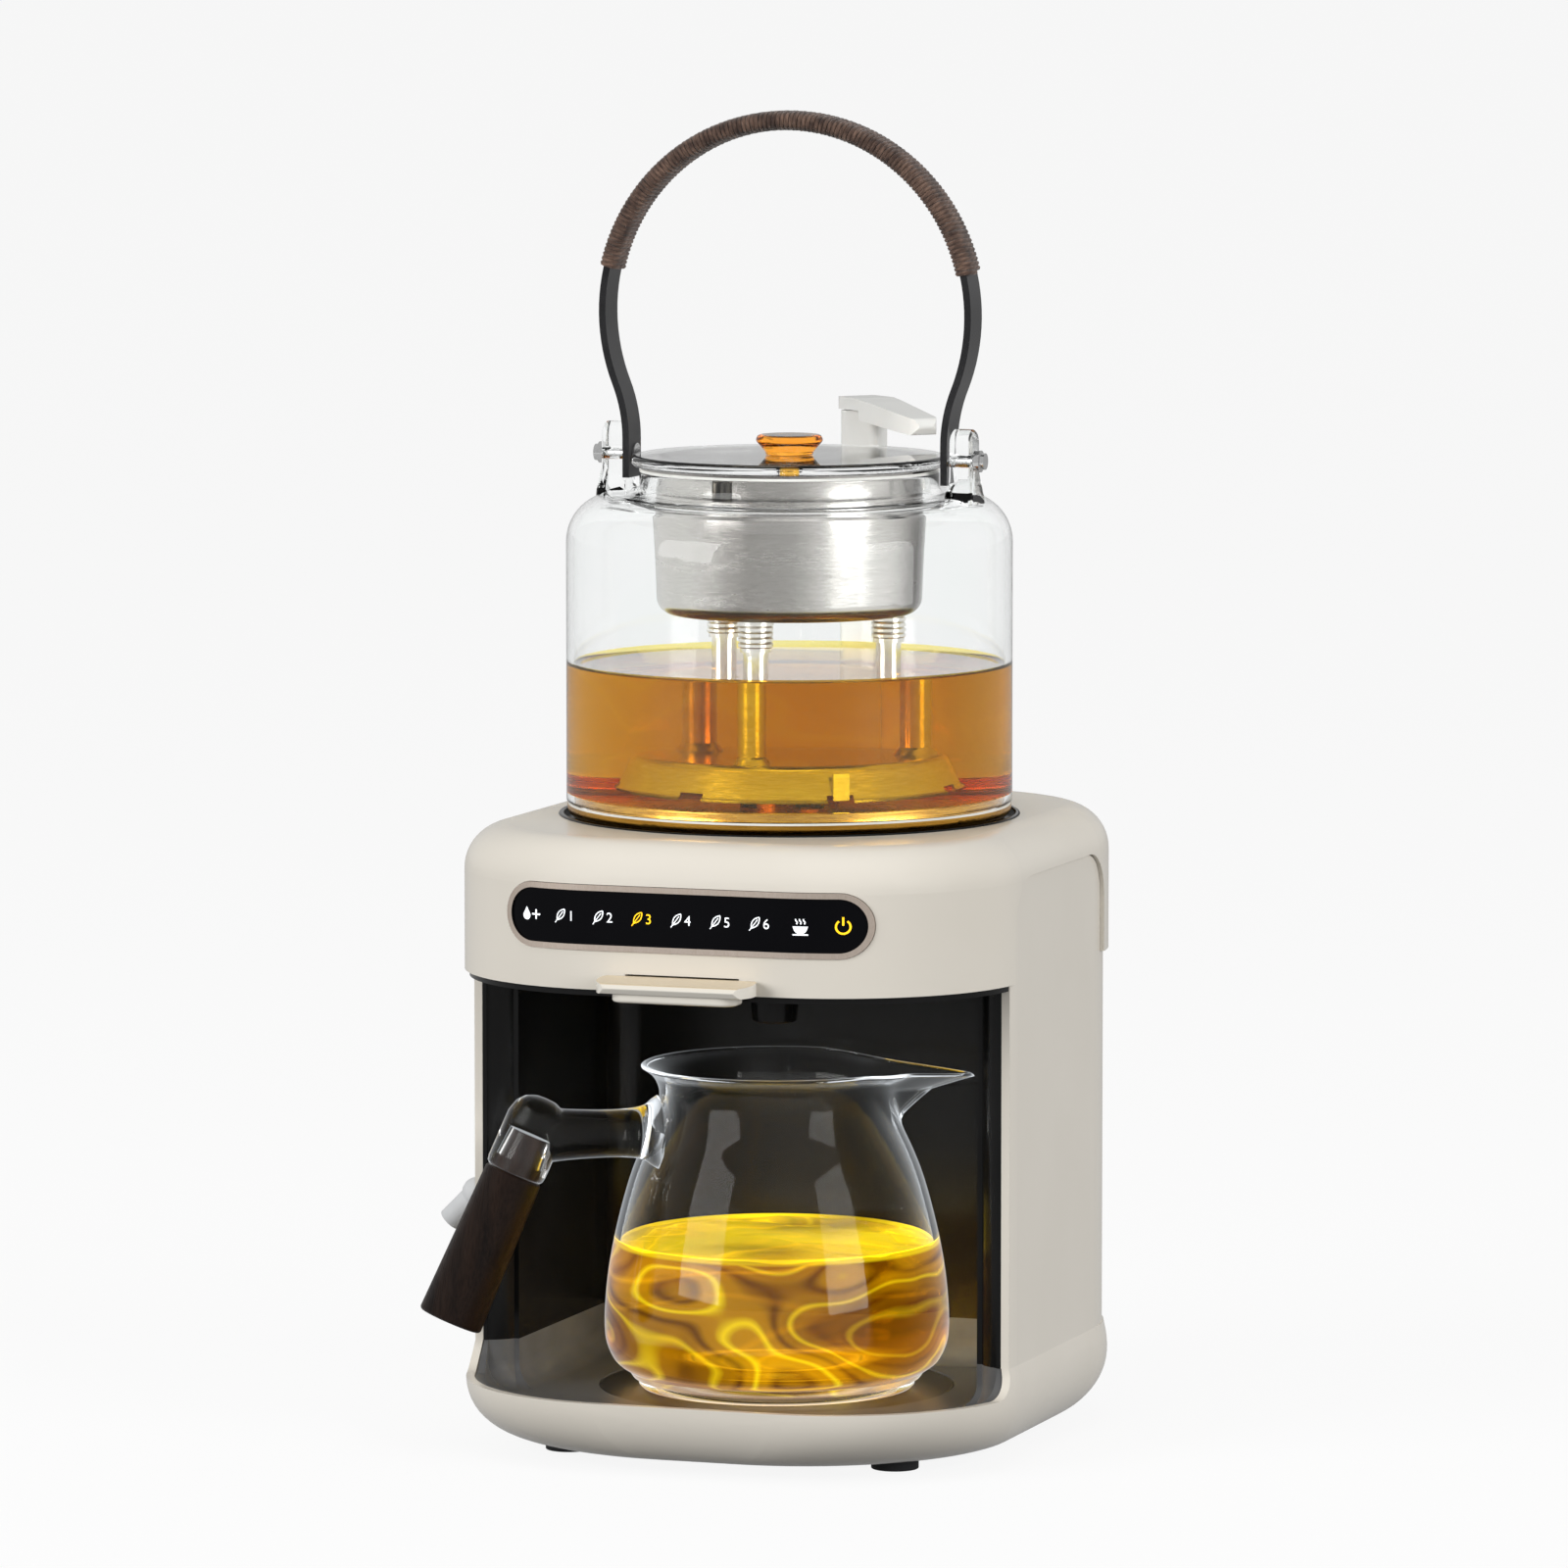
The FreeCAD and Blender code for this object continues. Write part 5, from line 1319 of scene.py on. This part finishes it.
    def grip_axis(self) -> tuple[Vector, Vector]:
        """Top of the grip and the direction down it, in the handle's plane."""
        tilt = math.radians(self.grip_tilt)
        return (Vector((self.grip_radius, 0, self.grip_height)),
                Vector((math.sin(tilt), 0, -math.cos(tilt))))

    def stub(self) -> bpy.types.Object:
        """Flared arm of glass from the wall to the socket.

        Returns:
            The closed mesh.
        """
        start = Vector((35.4, 0, self.socket_height))
        line = smooth_through([(11.6, 2.6), (10.6, 4.2), (8.6, 7.0), (7.7, 12.0), (7.5, 20.0),
                               (7.9, 30.0), (8.6, 38.0)], 5)
        return lathe("jug_stub", [(0, 1.4), (9.0, 1.4), *line, (6.0, 41.5), (0, 42.2)], start,
                     Vector((1, 0, 0)), 64)

    def socket(self) -> bpy.types.Object:
        """Domed socket that the grip's peg fits.

        Returns:
            The closed mesh.
        """
        top, down = self.grip_axis()
        r = self.socket_radius
        crown = [(0, -25.4), (3.4, -25.1), (6.4, -23.8), (8.5, -21.4), (r, -17.6)]
        wall = [(r, -10.0), (r, -2.2), (r - 0.3, -0.7), (r - 1.0, 0.0), (0, 0.0)]
        return lathe("jug_socket_glass", crown + wall, top, down, 72)

    def peg_hole(self) -> bpy.types.Object:
        """Hole for the peg."""
        top, down = self.grip_axis()
        return lathe("peg_hole", [(0, -13.0), (self.peg_radius, -13.0),
                                  (self.peg_radius + 0.95, 3.0), (0, 3.0)], top, down, 48)

    def tea(self) -> bpy.types.Object:
        """Tea up to its level, its surface still moving a little.

        Returns:
            The closed mesh.
        """
        floor = self.floor - self.tea_overlap
        walls = [(r - self.wall + self.tea_overlap, z) for r, z in smooth_through(self.belly, 7)
                 if self.floor + 4 < z < self.tea_rise - 1.0]
        corner = reversed(self.corner(walls[0][0], floor))
        brim = walls[-1][0] - 0.4
        profile = [(0, floor), *corner, *walls, (brim, self.tea_rise + 1.1),
                   (brim - 0.8, self.tea_rise + 0.5), (brim - 2.2, self.tea_rise)]
        profile += [(brim - r, self.tea_rise) for r in (6, 12, 18, 24)]
        profile += [(r, self.tea_rise) for r in (16, 9, 4, 0)]
        tea = lathe("jug_tea", profile)
        for vertex in tea.data.vertices:
            x, y, z = vertex.co / MM
            if z > self.tea_rise - 0.2 and math.hypot(x, y) < brim - 2:
                wave = math.sin(x * 0.16 + 1.0) * math.cos(y * 0.19)
                wave += 0.5 * math.sin((x + y) * 0.31)
                vertex.co.z += 0.55 * wave * MM
        return tea


@dataclass
class BailWinding(Assembly):
    """Cord wound round the arch of the drop handle by a Geometry Nodes tree."""

    radius: float = 60.4
    start: float = 13.0
    pitch: float = 1.42
    cord: float = 0.78
    half_thickness: float = 2.35
    half_width: float = 5.95
    squareness: float = 0.62
    points: int = 18

    def build(self) -> None:
        """Build the winding on the handle's arch."""
        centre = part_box("bail_wrap")[1].z / MM - self.half_thickness - self.cord - self.radius
        sweep = math.pi - 2 * math.radians(self.start)
        turns = round(self.radius * sweep / self.pitch)
        piece = grown("handle_winding", {
            "Radius": self.radius * MM, "Centre": centre * MM,
            "Start": math.radians(self.start), "Sweep": sweep, "Turns": float(turns),
            "Half Thickness": self.half_thickness * MM, "Half Width": self.half_width * MM,
            "Cord": self.cord * MM, "Count": turns * self.points + 1},
            self.shelf.take(FINISHES[Slot.CORD]), self.wind)
        smooth(piece, 60.0)
        self.keep(piece, Body.BAIL, Slot.CORD, replaced=("bail_wrap",))

    def wind(self, graph: NodeGraph, given: Mapping[str, Term]) -> Term:
        """Wind a cord round an arched strap.

        Args:
            graph: Graph of the tree.
            given: Sizes of the arch, the strap and the cord.

        Returns:
            The cord, with its length and its turn stored for the finish.
        """
        line = graph.value("GeometryNodeMeshLine", {"Count": given["Count"]})
        index = graph.value("GeometryNodeInputIndex")
        share = graph.calc("DIVIDE", index, given["Count"] - 1.0)
        arch = math.pi - given["Start"] - share * given["Sweep"]
        turn = share * given["Turns"] * (2 * math.pi)
        reach = given["Radius"] + self.squared(graph, "COSINE", turn) * given["Half Thickness"]
        place = graph.combined(reach * graph.calc("COSINE", arch),
                                self.squared(graph, "SINE", turn) * given["Half Width"],
                                given["Centre"] + reach * graph.calc("SINE", arch))
        wound = graph.value("GeometryNodeSetPosition", {"Geometry": line, "Position": place})
        curve = graph.value("GeometryNodeMeshToCurve", {"Mesh": wound})
        ring = graph.value("GeometryNodeCurvePrimitiveCircle", {
            "Resolution": 6, "Radius": given["Cord"]})
        along = graph.outputs("GeometryNodeSplineParameter")
        return graph.value("GeometryNodeCurveToMesh", {
            "Curve": self.store(graph, curve, "cord_along", along["Length"]),
            "Profile Curve": self.store(graph, ring, "cord_around", along["Factor"]),
            "Fill Caps": True})

    def squared(self, graph: NodeGraph, wave: str, turn: Term) -> Term:
        """Sine or cosine, flattened towards a rounded rectangle.

        Args:
            graph: Graph of the tree.
            wave: SINE or COSINE.
            turn: Angle round the strap.

        Returns:
            Its value, from -1 to 1.
        """
        value = graph.calc(wave, turn)
        size = graph.calc("POWER", graph.calc("ABSOLUTE", value), self.squareness)
        return graph.calc("SIGN", value) * size

    @staticmethod
    def store(graph: NodeGraph, geometry: Term, name: str, value: Term) -> Term:
        """Store a value on the points under a name."""
        return graph.value("GeometryNodeStoreNamedAttribute", {
            "Geometry": geometry, "Name": name, "Value": value}, domain="POINT")


@dataclass
class TouchPanel(Assembly):
    """Nine lit marks on the black panel: a drop, numbered leaves, a warm cup and the switch."""

    pitch: float = 12.7
    corner: float = 59.85
    flat_half: float = 29.75
    proud: float = 0.06
    digit_size: float = 4.4
    lit: tuple[int, ...] = (3, 8)

    def build(self) -> None:
        """Build the marks."""
        low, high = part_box("panel_glass")
        self.front = low.y / MM
        self.level = (low.z + high.z) / 2 / MM
        for key in range(9):
            finish = AMBER_MARK if key in self.lit else WHITE_MARK
            self.keep(self.mark(key), Body.ROOT, Slot.PANEL, finish, casts=False)

    def mark(self, key: int) -> bpy.types.Object:
        """One mark, centred on its key.

        Args:
            key: Number of the key, 0 at the left.

        Returns:
            The mark, flat on the panel.
        """
        special = {0: self.fill_sign, 7: self.cup, 8: self.switch}
        shapes = special.get(key, self.leaf)()
        vertices: list[Point] = []
        faces: list[list[int]] = []
        for shape in shapes:
            faces.append(list(range(len(vertices), len(vertices) + len(shape))))
            vertices.extend(shape)
        if key not in special:
            points, loops = self.digit(str(key), 1.9)
            faces.extend([[i + len(vertices) for i in loop] for loop in loops])
            vertices.extend(points)
        middle = (key - 4) * self.pitch
        placed = [self.on_panel(middle + u, v) for u, v in vertices]
        return mesh_object(f"panel_mark_{key + 1}", placed, faces)

    def on_panel(self, across: float, up: float) -> Vector:
        """Point just proud of the panel's curved front.

        Args:
            across: How far right of the panel's middle.
            up: How far above it.

        Returns:
            The point in millimetres.
        """
        beyond = max(abs(across) - self.flat_half, 0.0)
        fall = self.corner - math.sqrt(self.corner ** 2 - beyond ** 2)
        return Vector((across, self.front + fall - self.proud, self.level + up))

    @staticmethod
    def bar(x: float, y: float, width: float, height: float) -> list[Point]:
        """Rectangle about a point."""
        return [(x - width / 2, y - height / 2), (x + width / 2, y - height / 2),
                (x + width / 2, y + height / 2), (x - width / 2, y + height / 2)]

    @staticmethod
    def stroke(line: Sequence[Point], width: float) -> list[list[Point]]:
        """Stroke of the pen.

        Args:
            line: Points of its middle line.
            width: Its width.

        Returns:
            A quad for each span.
        """
        quads = []
        for (x0, y0), (x1, y1) in zip(line, line[1:]):
            length = math.hypot(x1 - x0, y1 - y0)
            nx, ny = (y0 - y1) / length * width / 2, (x1 - x0) / length * width / 2
            quads.append([(x0 - nx, y0 - ny), (x1 - nx, y1 - ny), (x1 + nx, y1 + ny),
                          (x0 + nx, y0 + ny)])
        return quads

    def fill_sign(self) -> list[list[Point]]:
        """Water drop and a plus."""
        drop = [*arc((-1.3, -0.55), 1.35, -215, 35, 14), (-1.3, 2.2)]
        return [drop, self.bar(2.2, 0.0, 3.0, 0.55), self.bar(2.2, 0.0, 0.55, 3.0)]

    def leaf(self) -> list[list[Point]]:
        """Outline of a tea leaf with its rib and stalk, left of the digit.

        Returns:
            Quads.
        """
        tilt = math.radians(52)
        line = [(0.3 * k - 2.1, 0.98 * math.sin(math.pi * k / 14) ** 0.8) for k in range(15)]
        outline = line + [(u, -v) for u, v in reversed(line)][1:]
        rib = [(-3.2, 0.0), (1.2, 0.0)]
        turned = [[(u * math.cos(tilt) - v * math.sin(tilt) - 1.6,
                    u * math.sin(tilt) + v * math.cos(tilt) + 0.5) for u, v in path]
                  for path in (outline, rib)]
        return self.stroke(turned[0], 0.34) + self.stroke(turned[1], 0.3)

    def cup(self) -> list[list[Point]]:
        """Cup with steam over it.

        Returns:
            The bowl, its saucer and the quads of the steam.
        """
        bowl = [(-2.4, -0.2), *arc((0.0, -0.4), 2.2, 190, 350, 10), (2.4, -0.2)]
        shapes = [bowl, self.bar(0, -2.75, 4.8, 0.42)]
        for x in (-1.2, 0.0, 1.2):
            wave = [(x + 0.32 * math.sin(t * 1.1), 0.5 + t * 0.32) for t in range(6)]
            shapes += self.stroke(wave, 0.4)
        return shapes

    def switch(self) -> list[list[Point]]:
        """Open ring with a bar, the usual sign of a switch."""
        return [*self.stroke(arc((0, -0.2), 2.1, 125, 415, 22), 0.6), self.bar(0, 1.5, 0.6, 2.6)]

    def digit(self, text: str, x: float) -> tuple[list[Point], list[list[int]]]:
        """Points and faces of a digit of the built-in font.

        Args:
            text: The digit.
            x: Its middle.

        Returns:
            Its points and its faces.
        """
        curve = bpy.data.curves.new("digit", "FONT")
        curve.body = text
        curve.size = self.digit_size
        curve.align_x, curve.align_y = "CENTER", "CENTER"
        letter = bpy.data.objects.new("digit", curve)
        bpy.context.scene.collection.objects.link(letter)
        mesh = evaluated(letter)
        points = [(x + v.co.x, v.co.y) for v in mesh.vertices]
        loops = [list(p.vertices) for p in mesh.polygons]
        bpy.data.objects.remove(letter)
        bpy.data.meshes.remove(mesh)
        return points, loops


@dataclass
class ScrewRecesses(Assembly):
    """Painted shade of the cross recesses in the heads of the four screws underneath: flat black
    crosses placed by Geometry Nodes.
    """

    across: float = 40.0
    along: float = 62.0
    arm: float = 3.4
    width: float = 0.8
    proud: float = 0.02

    def build(self) -> None:
        """Build the painted shade of the recesses as one piece."""
        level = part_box("base_screws")[0].z - self.proud * MM
        # painted shade: black crosses just under the screw heads stand in for the shade in their
        # recesses
        piece = grown("screw_recesses", {
            "Across": self.across * MM, "Along": self.along * MM, "Arm": self.arm * MM,
            "Width": self.width * MM, "Level": level},
            self.shelf.take(FINISHES[Slot.PUMP]), self.cross)
        self.keep(piece, Body.ROOT, Slot.PUMP, casts=False)

    @staticmethod
    def cross(graph: NodeGraph, given: Mapping[str, Term]) -> Term:
        """Set a cross at each corner of a rectangle.

        Args:
            graph: Graph of the tree.
            given: Half sizes of the rectangle, sizes of a cross and its level.

        Returns:
            The crosses, facing down.
        """
        def grid(wide: Term, deep: Term) -> Term:
            """Rectangle of one face."""
            return graph.value("GeometryNodeMeshGrid", {
                "Size X": wide, "Size Y": deep, "Vertices X": 2, "Vertices Y": 2})

        bars = graph.add("GeometryNodeJoinGeometry")
        for wide, deep in (("Arm", "Width"), ("Width", "Arm")):
            graph.tree.links.new(grid(given[wide], given[deep]).socket, bars.inputs[0])
        down = graph.value("GeometryNodeFlipFaces", {"Mesh": bars.outputs[0]})
        placed = graph.value("GeometryNodeInstanceOnPoints", {
            "Points": grid(given["Across"] * 2.0, given["Along"] * 2.0), "Instance": down})
        return graph.value("GeometryNodeTransform", {
            "Geometry": placed, "Translation": graph.combined(0.0, 0.0, given["Level"])})


# ---------------------------------------------------------------- studio


@dataclass
class Studio:
    """Pale floor, white surround, soft lamps and the camera, in metres."""

    azimuth: float = 19.247
    elevation: float = 5.978
    distance: float = 3.178719
    focal: float = 10324.93
    frame_pixels: float = 1600.0
    target_right: float = -0.001707
    target_up: float = 0.205457
    sensor: float = 36.0
    floor_half: float = 60.0
    middle: float = 0.18
    surround: float = 0.27
    mirrored: float = 0.4
    paper: float = 0.1
    lit_paper: float = 0.9
    glow: float = 0.9
    lamps: Sequence[tuple[str, tuple[float, float, float], float, float]] = (
        ("key_lamp", (-1.5, -2.0, 0.9), 1.5, 50.0),
        ("fill_lamp", (2.3, -0.8, 0.8), 1.5, 43.0),
        ("top_lamp", (0.1, -0.4, 2.4), 1.4, 8.0))

    def build(self) -> None:
        """Build the floor, the surround, the lamps and the camera."""
        self.light_world()
        self.lay_floor()
        for name, place, size, power in self.lamps:
            self.hang_lamp(name, Vector(place), size, power)
        self.set_camera()
        bpy.context.scene.view_settings.view_transform = "Standard"

    def seen(self, graph: NodeGraph) -> Term:
        """Share of plain white that a ray meets.

        Args:
            graph: Graph of the floor or the world.

        Returns:
            1 for the camera's rays and those through glass, less for reflections, else 0.
        """
        path = graph.outputs("ShaderNodeLightPath")
        both = graph.calc("MAXIMUM", path["Is Camera Ray"], path["Is Transmission Ray"])
        return graph.calc("MAXIMUM", both, path["Is Glossy Ray"] * self.mirrored)

    def light_world(self) -> None:
        """White where it is seen, softer where it lights."""
        world = bpy.data.worlds.new("surround")
        world.use_nodes = True
        world.node_tree.nodes.clear()
        graph = NodeGraph(world.node_tree)
        level = graph.value("ShaderNodeMapRange", {0: self.seen(graph), 3: self.surround, 4: 1.0})
        light = graph.value("ShaderNodeBackground", {"Color": (1, 1, 1, 1), "Strength": level})
        graph.add("ShaderNodeOutputWorld", {"Surface": light})
        bpy.context.scene.world = world

    def lay_floor(self) -> None:
        """Pale floor that keeps a soft shadow."""
        corners = [Vector((x, y, 0)) * (self.floor_half / MM)
                   for x, y in ((-1, -1), (1, -1), (1, 1), (-1, 1))]
        floor = mesh_object("floor", corners, [(0, 1, 2, 3)])
        material = bpy.data.materials.new("floor_paper")
        material.use_nodes = True
        material.node_tree.nodes.clear()
        graph = NodeGraph(material.node_tree)
        seen = self.seen(graph)
        tone = graph.value("ShaderNodeMapRange", {0: seen, 3: self.paper, 4: self.lit_paper})
        paper = graph.value("ShaderNodeBsdfDiffuse", {"Color": tone})
        white = graph.value("ShaderNodeEmission", {"Color": (1, 1, 1, 1), "Strength": 1.0})
        mixed = graph.value("ShaderNodeMixShader", {0: seen * self.glow, 1: paper, 2: white})
        graph.add("ShaderNodeOutputMaterial", {"Surface": mixed})
        floor.data.materials.append(material)

    def hang_lamp(self, name: str, place: Vector, size: float, power: float) -> None:
        """Hang a square lamp that is turned to the middle of the object.

        Args:
            name: Name of the lamp.
            place: Its middle in metres.
            size: Its side in metres.
            power: Its power in watts.
        """
        data = bpy.data.lights.new(name, "AREA")
        data.shape, data.size, data.energy = "SQUARE", size, power
        lamp = bpy.data.objects.new(name, data)
        bpy.context.scene.collection.objects.link(lamp)
        lamp.visible_glossy = False
        lamp.location = place
        way = Vector((0, 0, self.middle)) - place
        lamp.rotation_euler = way.to_track_quat("-Z", "Y").to_euler()

    def set_camera(self) -> None:
        """Camera by its azimuth, elevation, distance and focal length in pixels."""
        turn, rise = math.radians(self.azimuth), math.radians(self.elevation)
        back = Vector((math.sin(turn) * math.cos(rise), -math.cos(turn) * math.cos(rise),
                       math.sin(rise)))
        right = Vector((math.cos(turn), math.sin(turn), 0))
        target = right * self.target_right + Vector((0, 0, self.target_up))
        data = bpy.data.cameras.new("camera")
        data.sensor_width = self.sensor
        data.lens = self.focal / self.frame_pixels * self.sensor
        data.clip_end = 50.0
        camera = bpy.data.objects.new("camera", data)
        bpy.context.scene.collection.objects.link(camera)
        up = back.cross(right)
        axes = Matrix((right, up, back)).transposed().to_4x4()
        camera.matrix_world = Matrix.Translation(target + back * self.distance) @ axes
        bpy.context.scene.camera = camera


def main() -> None:
    """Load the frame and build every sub-assembly."""
    logging.basicConfig(level=logging.INFO, format="%(name)s: %(message)s")
    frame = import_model()
    Studio().build()
    shelf = FinishShelf()
    CadDress(shelf).build(frame)
    ValveSprings(shelf).build(frame)
    for assembly in (KettleGlass, GlassJug, BailWinding, TouchPanel, ScrewRecesses):
        assembly(shelf).build()


if __name__ == "__main__":
    main()
